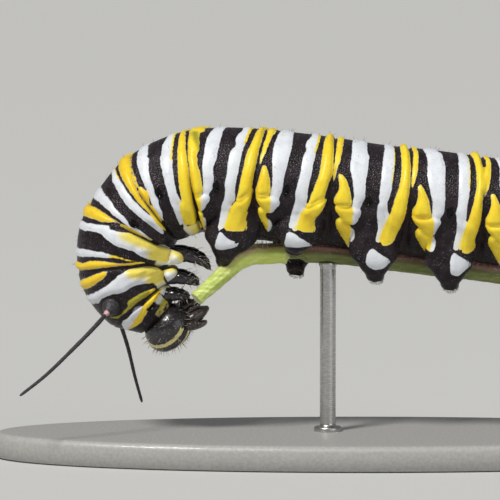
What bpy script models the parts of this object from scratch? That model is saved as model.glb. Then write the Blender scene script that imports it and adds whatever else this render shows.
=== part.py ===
"""Monarch larva, full grown, gripping a cut stem on a display stand: a still, life-size model.

Metres, +Z up. The larva heads towards -X with its back up, so its left side faces -Y. The origin is the middle of
the base's underside. The body is a row of rings on one bent spine, front to rear, each ring a solid of its own.
"""

import math

import bmesh
import bpy
import numpy as np
from mathutils import Vector

MM = 0.001

# Folds between the rings, from the neck to the tail: each has its centre as (x, z) in mm, and the direction in
# degrees in which the spine runs rearwards there, 0 along +X and 90 straight up.
FOLDS = (
    (-12.88, 8.96, 136.0),
    (-13.69, 9.69, 128.5),
    (-14.69, 11.82, 91.0),
    (-14.26, 14.38, 63.0),
    (-12.91, 16.19, 29.0),
    (-10.29, 17.16, 8.5),
    (-6.26, 17.16, -5.0),
    (-1.94, 16.73, -6.5),
    (2.87, 16.11, -5.5),
    (7.40, 15.57, -5.0),
    (11.68, 15.08, -8.0),
    (15.21, 14.43, -13.0),
    (16.94, 13.93, -19.0),
    (18.94, 13.00, -31.0),
)
# Rings between those folds, with their half heights in mm at mid length, towards the back and towards the belly.
SEGMENTS = (
    ("thorax_1", 1.97, 1.80),
    ("thorax_2", 2.78, 2.35),
    ("thorax_3", 3.18, 2.75),
    ("abdomen_1", 3.03, 2.90),
    ("abdomen_2", 3.24, 3.05),
    ("abdomen_3", 3.36, 3.12),
    ("abdomen_4", 3.34, 3.10),
    ("abdomen_5", 3.24, 3.06),
    ("abdomen_6", 3.28, 3.04),
    ("abdomen_7", 3.16, 2.95),
    ("abdomen_8", 2.86, 2.65),
    ("abdomen_9", 2.42, 2.20),
    ("abdomen_10", 1.92, 1.78),
)
NECK_HALF_HEIGHTS = (1.60, 1.50)
TAIL_HALF_HEIGHTS = (1.35, 1.30)
GAP = 0.30
WIDTH_RATIO = 0.99

# Relief of a ring in mm: creases across it, and lobes low on its flank. Rings shorter than FULL_LENGTH have less.
FOLD_DEPTH, FOLD_REACH = 0.20, 0.34
CREASES = ((0.10, 0.07), (0.83, 0.09))
CREASE_REACH = 0.045
FULL_LENGTH = 4.0
LOBES = (
    # place along, place round from the back in degrees, reach along, reach round, height
    (0.11, 84.0, 0.09, 15.0, 0.12),
    (0.17, 108.0, 0.13, 8.0, 0.24),
    (0.14, 128.0, 0.12, 8.0, 0.26),
    (0.78, 110.0, 0.12, 14.0, 0.16),
)
STATIONS = (0.0, 0.05, 0.12, 0.24, 0.42, 0.62, 0.76, 0.84, 0.93, 1.0)
ROUND_STEPS = 26
TAIL_DOME_FROM, TAIL_DOME_SHARE = 0.45, 0.93

# Breathing pores: raised ovals on the flank of these segments, half sizes in mm.
SPIRACLE_SEGMENTS = (0, 3, 4, 5, 6, 7, 8, 9, 10)
SPIRACLE_ALONG, SPIRACLE_ROUND = 0.50, 99.0
SPIRACLE_HALF = (0.17, 0.33)
SPIRACLE_RISE, SPIRACLE_ROOT, SPIRACLE_SIDES = 0.10, 0.35, 8

# Legs of the belly: each grips the stem with its tip there, at (x, y, z) in mm. The tuple starts with the segment's
# number in SEGMENTS.
PROLEGS = (
    ("proleg_3_left", 5, -1, (-8.60, -0.85, 12.05)),
    ("proleg_3_right", 5, 1, (-7.75, 0.40, 12.15)),
    ("proleg_4_left", 6, -1, (-4.25, -1.10, 12.80)),
    ("proleg_4_right", 6, 1, (-4.10, 1.00, 11.75)),
    ("proleg_5_left", 7, -1, (0.86, -0.90, 11.15)),
    ("proleg_5_right", 7, 1, (1.05, 0.95, 11.50)),
    ("proleg_6_left", 8, -1, (5.50, -0.90, 10.62)),
    ("proleg_6_right", 8, 1, (5.66, 0.95, 10.95)),
    ("clasper_left", 12, -1, (18.30, -0.95, 9.75)),
    ("clasper_right", 12, 1, (18.45, 0.95, 9.80)),
)
PROLEG_ALONG, PROLEG_ROUND, PROLEG_ROOT_DEPTH = 0.64, 136.0, 0.45
PROLEG_BULGE, CLASPER_BULGE, PROLEG_DROP, PROLEG_SIDES = 1.85, 1.0, 0.65, 14
PROLEG_SHAPE = (
    # share of the way to the tip, half length along the body, half width across it
    (0.00, 1.45, 0.95),
    (0.25, 1.52, 0.98),
    (0.45, 1.50, 0.90),
    (0.62, 1.22, 0.72),
    (0.76, 0.84, 0.56),
    (0.88, 0.56, 0.46),
    (0.96, 0.44, 0.38),
    (1.00, 0.24, 0.22),
)
CLASPER_SCALE = 0.80

# Jointed legs of the chest: root on segment, tip at (x, y, z) in mm.
LEGS = (
    ("leg_1_left", 0, -1, (-10.72, -0.85, 10.05)),
    ("leg_1_right", 0, 1, (-10.72, 0.75, 10.05)),
    ("leg_2_left", 1, -1, (-10.10, -0.95, 10.85)),
    ("leg_2_right", 1, 1, (-10.15, 0.75, 10.95)),
    ("leg_3_left", 2, -1, (-9.40, -0.85, 11.75)),
    ("leg_3_right", 2, 1, (-9.50, 0.65, 11.95)),
)
LEG_ALONG, LEG_ROUND, LEG_ROOT_DEPTH = 0.50, 150.0, 0.40
LEG_KNEE_RISE, LEG_SPREAD, LEG_SIDES = 0.35, 0.45, 8
LEG_SHAPE = (
    # share of the way to the tip, half thickness
    (0.00, 0.46),
    (0.28, 0.44),
    (0.34, 0.36),
    (0.50, 0.38),
    (0.56, 0.29),
    (0.72, 0.30),
    (0.78, 0.21),
    (0.90, 0.19),
    (1.00, 0.07),
)

# Soft filaments: root on segment, then the path's further points at (x, y, z) in mm.
FILAMENTS = (
    ("filament_front_left", 1, -1, 0.34, 52.0,
     ((-16.10, -3.10, 8.95), (-17.90, -4.75, 7.15), (-19.60, -6.10, 5.60), (-21.00, -7.00, 4.55))),
    ("filament_front_right", 1, 1, 0.34, 52.0,
     ((-15.25, 3.30, 8.30), (-14.75, 4.60, 6.40), (-14.30, 5.50, 4.30), (-13.90, 6.00, 2.75))),
    ("filament_rear_left", 10, -1, 0.42, 46.0,
     ((14.30, -2.75, 17.30), (15.35, -3.45, 18.05), (16.70, -4.10, 18.60))),
    ("filament_rear_right", 10, 1, 0.42, 46.0,
     ((14.28, 2.80, 17.32), (15.25, 3.60, 18.10), (16.50, 4.35, 18.70))),
)
FILAMENT_RADIUS, FILAMENT_TIP_RADIUS, FILAMENT_FLARE = 0.29, 0.13, 0.26
FILAMENT_TAPER, FILAMENT_FLARE_REACH, FILAMENT_ROOT_DEPTH = 2.2, 0.75, 0.14
FILAMENT_RINGS, FILAMENT_SIDES = 12, 8

# Head: a hard capsule of two domes, with its centre ahead of the neck.
HEAD_AHEAD = 1.22
HEAD_HALF = (1.42, 1.74, 1.72)
HEAD_BACK_CUT = 1.07
HEAD_SEAM_DEPTH, HEAD_SEAM_REACH = 0.12, 14.0
FACE_FLATTEN, FACE_SHARE, CHIN_CUT = 0.10, 0.96, 0.12
HEAD_STEPS = (14, 22)
JAW_ROOT, JAW_TIP = (0.52, -1.20, 0.62), (0.84, -2.52, 0.12)
JAW_SHAPE = ((0.0, 0.50, 0.40), (0.5, 0.50, 0.40), (0.75, 0.42, 0.34), (0.92, 0.32, 0.24), (1.0, 0.18, 0.14))
LIP_ROOT, LIP_TIP = (1.02, -0.92, 0.0), (1.42, -1.90, 0.0)
LIP_SHAPE = ((0.0, 0.72, 0.24), (0.5, 0.74, 0.24), (0.85, 0.68, 0.20), (1.0, 0.46, 0.13))
CHIN_ROOT, CHIN_TIP = (-0.35, -1.20, 0.0), (0.02, -2.50, 0.0)
CHIN_SHAPE = ((0.0, 0.56, 0.46), (0.55, 0.52, 0.42), (0.78, 0.36, 0.30), (0.92, 0.20, 0.18), (1.0, 0.10, 0.10))
FEELER_ROOT, FEELER_TIP = (0.70, -0.90, 1.05), (1.20, -1.75, 1.75)
FEELER_SHAPE = ((0.0, 0.28, 0.28), (0.62, 0.27, 0.27), (0.68, 0.20, 0.20), (0.86, 0.18, 0.18), (1.0, 0.07, 0.07))
MOUTH_SIDES = 8

# Cut stem: a leaf stalk that the larva bit part way through, so that its front length bends down.
STEM_PATH = (
    (-10.29, -2.30, 10.10),
    (-9.23, -1.75, 11.04),
    (-8.29, -1.20, 11.79),
    (-7.23, -0.65, 12.44),
    (-5.85, -0.20, 12.69),
    (-3.85, 0.00, 12.82),
    (-1.35, 0.00, 12.66),
    (2.53, 0.00, 12.23),
    (8.03, 0.00, 11.60),
    (12.40, 0.00, 10.91),
    (17.40, 0.00, 10.23),
    (21.50, 0.00, 9.60),
)
STEM_RADII = (0.44, 0.46, 0.48, 0.54, 0.60, 0.62, 0.62, 0.63, 0.65, 0.66, 0.68, 0.70)
STEM_RINGS, STEM_SIDES = 34, 12
STEM_NOTCH_AT, STEM_NOTCH_REACH, STEM_NOTCH_DEPTH = 0.215, 0.010, 0.12

# Display stand
BASE_LENGTH, BASE_WIDTH, BASE_HEIGHT, BASE_BEVEL, BASE_SIDES = 46.0, 17.0, 1.6, 0.35, 48
ROD_RADIUS, ROD_SIDES = 0.50, 16
RODS = (("stand_rod_front", -2.10), ("stand_rod_rear", 11.60))

SKIN_BLACK = ("skin_black", (0.028, 0.022, 0.030), 0.45)
SKIN_BANDED = ("skin_banded", (0.70, 0.66, 0.45), 0.40)
HORN_BLACK = ("horn_black", (0.012, 0.010, 0.013), 0.25)
STEM_GREEN = ("stem_green", (0.36, 0.50, 0.12), 0.60)
BASE_GREY = ("base_grey", (0.60, 0.59, 0.56), 0.55)
ROD_STEEL = ("rod_steel", (0.55, 0.55, 0.56), 0.30)
LATERAL = Vector((0.0, 1.0, 0.0))


def clear_scene():
    for obj in list(bpy.data.objects):
        bpy.data.objects.remove(obj)


def material(finish):
    name, colour, roughness = finish
    made = bpy.data.materials.get(name)
    if made is None:
        made = bpy.data.materials.new(name)
        made.use_nodes = True
        shader = made.node_tree.nodes["Principled BSDF"]
        shader.inputs["Base Color"].default_value = (*colour, 1.0)
        shader.inputs["Roughness"].default_value = roughness
        shader.inputs["Metallic"].default_value = 1.0 if finish is ROD_STEEL else 0.0
    return made


def smooth_curve(value, places, heights):
    """A smooth line through (places, heights), read at value, with no overshoot between flat neighbours."""
    places, heights = np.asarray(places, float), np.asarray(heights, float)
    slopes = np.gradient(heights, places)
    i = int(np.clip(np.searchsorted(places, value) - 1, 0, len(places) - 2))
    span = places[i + 1] - places[i]
    t = float(np.clip((value - places[i]) / span, 0.0, 1.0))
    t2, t3 = t * t, t * t * t
    return (
        (2 * t3 - 3 * t2 + 1) * heights[i]
        + (t3 - 2 * t2 + t) * span * slopes[i]
        + (3 * t2 - 2 * t3) * heights[i + 1]
        + (t3 - t2) * span * slopes[i + 1]
    )


# Spine


def heading_vector(heading):
    angle = math.radians(heading)
    return Vector((math.cos(angle), 0.0, math.sin(angle)))


def section(segment, along):
    """Centre, rearward direction and back direction of a ring's section. Its end sections are parallel to those of
    its neighbours, half a gap off the fold between them."""
    (x0, z0, heading0), (x1, z1, heading1) = FOLDS[segment : segment + 2]
    slope0, slope1 = heading_vector(heading0), heading_vector(heading1)
    start = Vector((x0, 0.0, z0)) + slope0 * (GAP / 2)
    end = Vector((x1, 0.0, z1)) - slope1 * (GAP / 2)
    reach = (end - start).length
    t, t2, t3 = along, along**2, along**3
    centre = (
        start * (2 * t3 - 3 * t2 + 1)
        + slope0 * (reach * (t3 - 2 * t2 + t))
        + end * (3 * t2 - 2 * t3)
        + slope1 * (reach * (t3 - t2))
    )
    rearward = heading_vector(heading0 + (heading1 - heading0) * along)
    return centre, rearward, Vector((-rearward.z, 0.0, rearward.x))


def segment_length(segment):
    (x0, z0, _), (x1, z1, _) = FOLDS[segment : segment + 2]
    return math.hypot(x1 - x0, z1 - z0)


def half_height(segment, along, side):
    """Half height of a ring's section in mm. side is 0 for the back and 1 for the belly."""
    places = [0.0, *(k + 0.5 for k in range(len(SEGMENTS))), float(len(SEGMENTS))]
    heights = [NECK_HALF_HEIGHTS[side], *(row[1 + side] for row in SEGMENTS), TAIL_HALF_HEIGHTS[side]]
    return smooth_curve(segment + along, places, heights)


def relief(segment, along, around):
    """How far the ring's surface stands out of its plain section, in mm. around is in degrees from the back."""
    to_fold = min(along, 1.0 - along) * segment_length(segment)
    height = -FOLD_DEPTH * math.exp(-((to_fold / FOLD_REACH) ** 2))
    fullness = min(segment_length(segment) / FULL_LENGTH, 1.0)
    for place, depth in CREASES:
        height -= depth * fullness**2 * math.exp(-(((along - place) / CREASE_REACH) ** 2))
    if 1 <= segment <= 10:
        for place, direction, reach, sweep, rise in LOBES:
            apart = ((along - place) / reach) ** 2 + ((abs(around) - direction) / sweep) ** 2
            height += rise * math.exp(-apart)
    return height


def tail_dome(segment, along):
    if segment < len(SEGMENTS) - 1 or along < TAIL_DOME_FROM:
        return 1.0
    share = (along - TAIL_DOME_FROM) / (1.0 - TAIL_DOME_FROM)
    return math.sqrt(max(1.0 - (share * TAIL_DOME_SHARE) ** 2, 0.0))


def skin_point(segment, along, around, out=0.0):
    """A point of the body's surface, out mm outside it. around runs from the back, positive to the right."""
    centre, _, back = section(segment, along)
    angle = math.radians(around)
    tall = half_height(segment, along, 0 if math.cos(angle) > 0 else 1)
    wide = WIDTH_RATIO * (half_height(segment, along, 0) + half_height(segment, along, 1)) / 2
    reach = back * (math.cos(angle) * tall) + LATERAL * (math.sin(angle) * wide)
    swell = (tall + relief(segment, along, around)) / tall * tail_dome(segment, along)
    return centre + reach * swell + reach.normalized() * out


def ring(segment, along, out=0.0):
    step = 360.0 / ROUND_STEPS
    return [skin_point(segment, along, (k + 0.5) * step - 180.0, out) for k in range(ROUND_STEPS)]


# Mesh helpers


def loft(name, rings, finish):
    """A closed solid through rings of equal count, with a flat face at each end."""
    mesh = bmesh.new()
    rows = [[mesh.verts.new(Vector(point) * MM) for point in points] for points in rings]
    for first, second in zip(rows, rows[1:]):
        count = len(first)
        for k in range(count):
            nxt = (k + 1) % count
            mesh.faces.new((first[k], first[nxt], second[nxt], second[k]))
    mesh.faces.new(rows[0][::-1])
    mesh.faces.new(rows[-1])
    bmesh.ops.recalc_face_normals(mesh, faces=mesh.faces)
    return add_object(name, mesh, finish)


def add_object(name, mesh, finish):
    data = bpy.data.meshes.new(name)
    mesh.to_mesh(data)
    mesh.free()
    data.materials.append(material(finish))
    obj = bpy.data.objects.new(name, data)
    bpy.context.scene.collection.objects.link(obj)
    return obj


def bake_modifiers(obj):
    """Gives obj the mesh that its modifiers make, and drops the modifiers."""
    bpy.context.view_layer.update()
    made = bpy.data.meshes.new_from_object(obj.evaluated_get(bpy.context.evaluated_depsgraph_get()))
    obj.modifiers.clear()
    obj.data = made
    obj.data.name = obj.name


def keep_largest(obj):
    """Drops every closed surface of the mesh but its largest."""
    mesh = bmesh.new()
    mesh.from_mesh(obj.data)
    left, shells = set(mesh.verts), []
    while left:
        shell, edge = set(), [left.pop()]
        while edge:
            vertex = edge.pop()
            shell.add(vertex)
            fresh = {e.other_vert(vertex) for e in vertex.link_edges} & left
            left -= fresh
            edge.extend(fresh)
        shells.append(shell)
    shells.sort(key=len, reverse=True)
    for shell in shells[1:]:
        bmesh.ops.delete(mesh, geom=list(shell), context="VERTS")
    mesh.to_mesh(obj.data)
    mesh.free()


def combine(obj, operation, others):
    """Joins obj with others, or cuts them from it, and removes them."""
    tools = bpy.data.collections.new(obj.name + "_tools")
    bpy.context.scene.collection.children.link(tools)
    for other in others:
        bpy.context.scene.collection.objects.unlink(other)
        tools.objects.link(other)
    boolean = obj.modifiers.new(operation.lower(), "BOOLEAN")
    boolean.operation = operation
    boolean.solver = "EXACT"
    boolean.operand_type = "COLLECTION"
    boolean.collection = tools
    bake_modifiers(obj)
    for other in others:
        bpy.data.objects.remove(other)
    bpy.data.collections.remove(tools)
    keep_largest(obj)


def oval_ring(centre, first, second, half_first, half_second, sides):
    points = []
    for k in range(sides):
        angle = 2 * math.pi * (k + 0.5) / sides
        points.append(centre + first * (half_first * math.cos(angle)) + second * (half_second * math.sin(angle)))
    return points


def bezier(start, pull, end, share):
    return start * (1 - share) ** 2 + pull * (2 * share * (1 - share)) + end * share**2


def path_point(points, share):
    """A point of the smooth curve through points, share of the way along it."""
    places = np.concatenate([[0.0], np.cumsum([(b - a).length for a, b in zip(points, points[1:])])])
    value = share * float(places[-1])
    return Vector([smooth_curve(value, places, [p[k] for p in points]) for k in range(3)])


def tube(name, points, radius_at, count, sides, finish):
    """A round solid along the smooth curve through points."""
    points = [Vector(p) for p in points]
    rings, first = [], None
    for k in range(count):
        share = k / (count - 1)
        ahead = path_point(points, min(share + 0.01, 1.0)) - path_point(points, max(share - 0.01, 0.0))
        ahead.normalize()
        first = (LATERAL if first is None else first).cross(ahead).cross(ahead).normalized() * -1.0
        second = ahead.cross(first)
        radius = radius_at(share)
        rings.append(oval_ring(path_point(points, share), first, second, radius, radius, sides))
    return loft(name, rings, finish)


# Body


def spiracle(segment, side):
    middle = skin_point(segment, SPIRACLE_ALONG, side * SPIRACLE_ROUND)
    centre, rearward, _ = section(segment, SPIRACLE_ALONG)
    out = (middle - centre).normalized()
    across = out.cross(rearward).normalized()
    scale = min(segment_length(segment) / FULL_LENGTH, 1.0)
    wide, tall = SPIRACLE_HALF[0] * scale, SPIRACLE_HALF[1] * scale
    rings = [
        oval_ring(middle - out * SPIRACLE_ROOT, rearward, across, wide, tall, SPIRACLE_SIDES),
        oval_ring(middle + out * SPIRACLE_RISE * 0.5, rearward, across, wide, tall, SPIRACLE_SIDES),
        oval_ring(middle + out * SPIRACLE_RISE, rearward, across, wide * 0.6, tall * 0.75, SPIRACLE_SIDES),
    ]
    return loft("spiracle", rings, HORN_BLACK)


def body_ring(segment):
    name = SEGMENTS[segment][0]
    obj = loft(name, [ring(segment, along) for along in STATIONS], SKIN_BANDED)
    if segment in SPIRACLE_SEGMENTS:
        combine(obj, "UNION", [spiracle(segment, side) for side in (-1, 1)])


def grown_ring(segment):
    """A cutter: the ring's own shape, one gap larger all round."""
    rings = [ring(segment, along, GAP) for along in STATIONS]
    obj = loft(SEGMENTS[segment][0] + "_cutter", rings, SKIN_BLACK)
    front, rear = section(segment, 0.0), section(segment, 1.0)
    for vertex in obj.data.vertices[:ROUND_STEPS]:
        vertex.co -= front[1] * (GAP * MM)
    for vertex in obj.data.vertices[-ROUND_STEPS:]:
        vertex.co += rear[1] * (GAP * MM)
    return obj


def stem_radius(share, out=0.0):
    places = np.linspace(0.0, 1.0, len(STEM_PATH))
    dip = STEM_NOTCH_DEPTH * math.exp(-(((share - STEM_NOTCH_AT) / STEM_NOTCH_REACH) ** 2))
    return float(np.interp(share, places, STEM_RADII)) - dip + out


def stem(name, out=0.0):
    return tube(name, STEM_PATH, lambda share: stem_radius(share, out), STEM_RINGS, STEM_SIDES, STEM_GREEN)


# Legs


def proleg(name, segment, side, tip):
    """A fleshy leg: an oval that tapers to its gripping foot, cut clear of the body and of the stem."""
    around = side * PROLEG_ROUND
    centre, rearward, _ = section(segment, PROLEG_ALONG)
    skin = skin_point(segment, PROLEG_ALONG, around)
    root = centre + (skin - centre) * PROLEG_ROOT_DEPTH
    tip = Vector(tip)
    scale, bulge = (CLASPER_SCALE, CLASPER_BULGE) if segment == len(SEGMENTS) - 1 else (1.0, PROLEG_BULGE)
    pull = Vector((tip.x * 0.5 + skin.x * 0.5, tip.y + side * bulge, skin.z + (tip.z - skin.z) * PROLEG_DROP))
    rings = []
    for share, along_body, across in PROLEG_SHAPE:
        point = bezier(root, pull, tip, share)
        ahead = (bezier(root, pull, tip, share + 0.01) - bezier(root, pull, tip, share - 0.01)).normalized()
        first = (rearward - ahead * rearward.dot(ahead)).normalized()
        second = ahead.cross(first)
        rings.append(oval_ring(point, first, second, along_body * scale, across * scale, PROLEG_SIDES))
    leg = loft(name, rings, SKIN_BLACK)
    cutters = [grown_ring(k) for k in range(max(segment - 1, 0), min(segment + 2, len(SEGMENTS)))]
    cutters.append(stem("stem_cutter", GAP))
    for cutter in cutters:
        combine(leg, "DIFFERENCE", [cutter])
    return leg


def leg(name, segment, side, tip):
    """A hard jointed leg that tapers to its claw."""
    around = side * LEG_ROUND
    centre, rearward, _ = section(segment, LEG_ALONG)
    skin = skin_point(segment, LEG_ALONG, around)
    root = centre + (skin - centre) * (1.0 - LEG_ROOT_DEPTH)
    tip = Vector(tip)
    pull = (skin + tip) / 2 - rearward * LEG_KNEE_RISE + LATERAL * (side * LEG_SPREAD)
    rings = []
    for share, thick in LEG_SHAPE:
        point = bezier(root, pull, tip, share)
        ahead = (bezier(root, pull, tip, share + 0.01) - bezier(root, pull, tip, share - 0.01)).normalized()
        first = (rearward - ahead * rearward.dot(ahead)).normalized()
        second = ahead.cross(first)
        rings.append(oval_ring(point, first, second, thick, thick, LEG_SIDES))
    made = loft(name, rings, HORN_BLACK)
    cutters = [grown_ring(k) for k in range(max(segment - 1, 0), segment + 2)]
    cutters.append(stem("stem_cutter", GAP))
    for cutter in cutters:
        combine(made, "DIFFERENCE", [cutter])
    return made


def filament(name, segment, side, along, around, points):
    """A soft, tapered feeler on the back, flared at its root."""
    skin = skin_point(segment, along, side * around)
    centre = section(segment, along)[0]
    root = centre + (skin - centre) * (1.0 - FILAMENT_ROOT_DEPTH)
    length = sum((Vector(b) - Vector(a)).length for a, b in zip([root, *points], points))

    def radius_at(share):
        taper = FILAMENT_RADIUS + (FILAMENT_TIP_RADIUS - FILAMENT_RADIUS) * share**FILAMENT_TAPER
        return taper + FILAMENT_FLARE * math.exp(-((share * length / FILAMENT_FLARE_REACH) ** 2))

    made = tube(name, [root, *points], radius_at, FILAMENT_RINGS, FILAMENT_SIDES, SKIN_BLACK)
    for k in range(segment - 1, segment + 2):
        combine(made, "DIFFERENCE", [grown_ring(k)])
    return made


# Head


def head_frame():
    x, z, heading = FOLDS[0]
    forward = heading_vector(heading + 180.0)
    return Vector((x, 0.0, z)) + forward * HEAD_AHEAD, forward, Vector((forward.z, 0.0, -forward.x))


def head_place(place):
    """A point given as (forward, towards the back, to the side) of the head's centre."""
    centre, forward, back = head_frame()
    return centre + forward * place[0] + back * place[1] + LATERAL * place[2]


def head_ring(share):
    """A ring of the capsule at share of the way from its neck cut to its face."""
    low = -math.asin(HEAD_BACK_CUT / HEAD_HALF[0])
    lift = low + (math.pi / 2 * FACE_SHARE - low) * share
    points = []
    for k in range(HEAD_STEPS[1]):
        angle = 2 * math.pi * (k + 0.5) / HEAD_STEPS[1]
        side, up = math.sin(angle), math.cos(angle)
        wrapped = math.degrees(min(angle, 2 * math.pi - angle))
        seam = HEAD_SEAM_DEPTH * math.exp(-((wrapped / HEAD_SEAM_REACH) ** 2)) * math.cos(lift)
        ahead = HEAD_HALF[0] * math.sin(lift) * (1.0 - FACE_FLATTEN * max(math.sin(lift), 0.0))
        tall = HEAD_HALF[1] - seam - (CHIN_CUT if up < 0 else 0.0)
        place = (ahead, tall * math.cos(lift) * up, HEAD_HALF[2] * math.cos(lift) * side)
        points.append(head_place(place))
    return points


def head(name):
    return loft(name, [head_ring(k / (HEAD_STEPS[0] - 1)) for k in range(HEAD_STEPS[0])], HORN_BLACK)


def mouth_part(name, root, tip, shape, side, finish, out=0.0):
    start = head_place((root[0], root[1], root[2] * side))
    end = head_place((tip[0], tip[1], tip[2] * side))
    ahead = (end - start).normalized()
    first = (LATERAL - ahead * LATERAL.dot(ahead)).normalized()
    second = ahead.cross(first)
    rings = [
        oval_ring(start.lerp(end, share), first, second, wide + out, deep + out, MOUTH_SIDES)
        for share, wide, deep in shape
    ]
    return loft(name, rings, finish)


def grown_head():
    obj = head("head_cutter")
    centre = head_frame()[0] * MM
    for vertex in obj.data.vertices:
        away = vertex.co - centre
        vertex.co += away.normalized() * (GAP * MM)
    return obj


MOUTH_PARTS = (
    ("mandible_left", JAW_ROOT, JAW_TIP, JAW_SHAPE, -1),
    ("mandible_right", JAW_ROOT, JAW_TIP, JAW_SHAPE, 1),
    ("labrum", LIP_ROOT, LIP_TIP, LIP_SHAPE, 1),
    ("labium", CHIN_ROOT, CHIN_TIP, CHIN_SHAPE, 1),
    ("antenna_left", FEELER_ROOT, FEELER_TIP, FEELER_SHAPE, -1),
    ("antenna_right", FEELER_ROOT, FEELER_TIP, FEELER_SHAPE, 1),
)


def mouth():
    """The mouth's parts, each cut clear of the head and of those before it."""
    done = []
    for name, root, tip, shape, side in MOUTH_PARTS:
        part = mouth_part(name, root, tip, shape, side, HORN_BLACK)
        combine(part, "DIFFERENCE", [grown_head()])
        for earlier in done:
            combine(part, "DIFFERENCE", [mouth_part("cutter", *earlier, HORN_BLACK, GAP)])
        done.append((root, tip, shape, side))


# Stand


def stand_base():
    mesh = bmesh.new()
    bmesh.ops.create_circle(mesh, cap_ends=True, segments=BASE_SIDES, radius=1.0)
    for vertex in mesh.verts:
        vertex.co.x *= BASE_LENGTH / 2 * MM
        vertex.co.y *= BASE_WIDTH / 2 * MM
    top = bmesh.ops.extrude_face_region(mesh, geom=mesh.faces[:])["geom"]
    for vertex in (v for v in top if isinstance(v, bmesh.types.BMVert)):
        vertex.co.z += BASE_HEIGHT * MM
    bmesh.ops.recalc_face_normals(mesh, faces=mesh.faces)
    base = add_object("stand_base", mesh, BASE_GREY)
    bevel = base.modifiers.new("edge", "BEVEL")
    bevel.width = BASE_BEVEL * MM
    bevel.segments = 2
    bevel.limit_method = "ANGLE"
    return base


def stand_rod(name, x):
    """A round rod from the base up to the underside of the stem."""
    heights = sorted((abs(p[0] - x), p) for p in STEM_PATH)[:2]
    near = sorted((p for _, p in heights), key=lambda p: p[0])
    share = (x - near[0][0]) / (near[1][0] - near[0][0])
    under = near[0][2] + (near[1][2] - near[0][2]) * share
    low, high = BASE_HEIGHT + GAP, under
    rings = [
        oval_ring(Vector((x, 0.0, z)), Vector((1, 0, 0)), LATERAL, ROD_RADIUS, ROD_RADIUS, ROD_SIDES)
        for z in (low, high)
    ]
    rod = loft(name, rings, ROD_STEEL)
    combine(rod, "DIFFERENCE", [stem("stem_cutter", GAP)])
    return rod


def main():
    clear_scene()
    for segment in range(len(SEGMENTS)):
        body_ring(segment)
    for row in PROLEGS:
        proleg(*row)
    for row in LEGS:
        leg(*row)
    for row in FILAMENTS:
        filament(*row)
    head("head")
    mouth()
    stem("perch_stem")
    stand_base()
    for name, x in RODS:
        stand_rod(name, x)


main()
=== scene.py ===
"""Monarch larva on a cut stem: finished skin, horny parts, stem and stand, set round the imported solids."""

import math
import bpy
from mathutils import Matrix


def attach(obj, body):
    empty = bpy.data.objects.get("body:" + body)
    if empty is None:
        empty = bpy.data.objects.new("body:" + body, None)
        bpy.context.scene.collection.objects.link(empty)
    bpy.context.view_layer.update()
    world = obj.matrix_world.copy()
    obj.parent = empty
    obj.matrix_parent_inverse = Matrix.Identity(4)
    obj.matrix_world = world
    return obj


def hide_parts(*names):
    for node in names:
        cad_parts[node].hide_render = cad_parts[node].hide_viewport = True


bl_info = {
    "name": "Monarch larva display model",
    "version": (1, 0, 0),
    "blender": (4, 5, 0),
    "location": "3D View > Sidebar > Larva",
    "description": "Builds a banded monarch larva on its display stand",
    "category": "Object",
}

import bmesh
import bpy
import numpy as np
from mathutils import Vector

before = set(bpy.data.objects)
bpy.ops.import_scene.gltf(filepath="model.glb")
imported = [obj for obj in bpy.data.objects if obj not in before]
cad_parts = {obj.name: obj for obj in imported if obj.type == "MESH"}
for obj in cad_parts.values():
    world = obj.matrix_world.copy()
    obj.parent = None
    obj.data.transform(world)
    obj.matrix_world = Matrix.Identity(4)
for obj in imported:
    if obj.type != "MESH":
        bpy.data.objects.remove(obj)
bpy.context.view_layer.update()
MM = 0.001

# Body spine, as in the solids: folds from neck to tail, as centre (x, z) in mm and heading in degrees.
FOLDS = np.array((
    (-12.88, 8.96, 136.0), (-13.69, 9.69, 128.5), (-14.69, 11.82, 91.0), (-14.26, 14.38, 63.0),
    (-12.91, 16.19, 29.0), (-10.29, 17.16, 8.5), (-6.26, 17.16, -5.0), (-1.94, 16.73, -6.5),
    (2.87, 16.11, -5.5), (7.40, 15.57, -5.0), (11.68, 15.08, -8.0), (15.21, 14.43, -13.0),
    (16.94, 13.93, -19.0), (18.94, 13.00, -31.0),
))
RINGS = (
    "thorax_1", "thorax_2", "thorax_3", "abdomen_1", "abdomen_2", "abdomen_3", "abdomen_4",
    "abdomen_5", "abdomen_6", "abdomen_7", "abdomen_8", "abdomen_9", "abdomen_10",
)
LENGTHS = np.hypot(*(FOLDS[1:, :2] - FOLDS[:-1, :2]).T)
TAIL = float(len(RINGS))
PLACES = (0.0, *(k + 0.5 for k in range(len(RINGS))), TAIL)  # where the heights are given
BACK_HEIGHTS = (1.60, 1.97, 2.78, 3.18, 3.03, 3.24, 3.36, 3.34, 3.24, 3.28, 3.16, 2.86, 2.42, 1.92, 1.35)
BELLY_HEIGHTS = (1.50, 1.80, 2.35, 2.75, 2.90, 3.05, 3.12, 3.10, 3.06, 3.04, 2.95, 2.65, 2.20, 1.78, 1.30)
WIDTH_RATIO = 0.99
TAIL_DOME_FROM, TAIL_DOME_ROUND = 0.45, 0.93  # share of the last ring where it rounds off, and how far

# How far the bands lean forward on the left flank and rearward on the right, as a share of the ring.
BAND_LEAN_AT = (0.0, 2.0, 2.5, 3.5, 4.5, 5.5, 6.5, 7.5, 8.5, 10.0, 13.0)
BAND_LEAN = (0.0, 0.0, 0.07, 0.20, 0.27, 0.23, 0.11, 0.0, -0.05, 0.0, 0.0)

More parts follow.
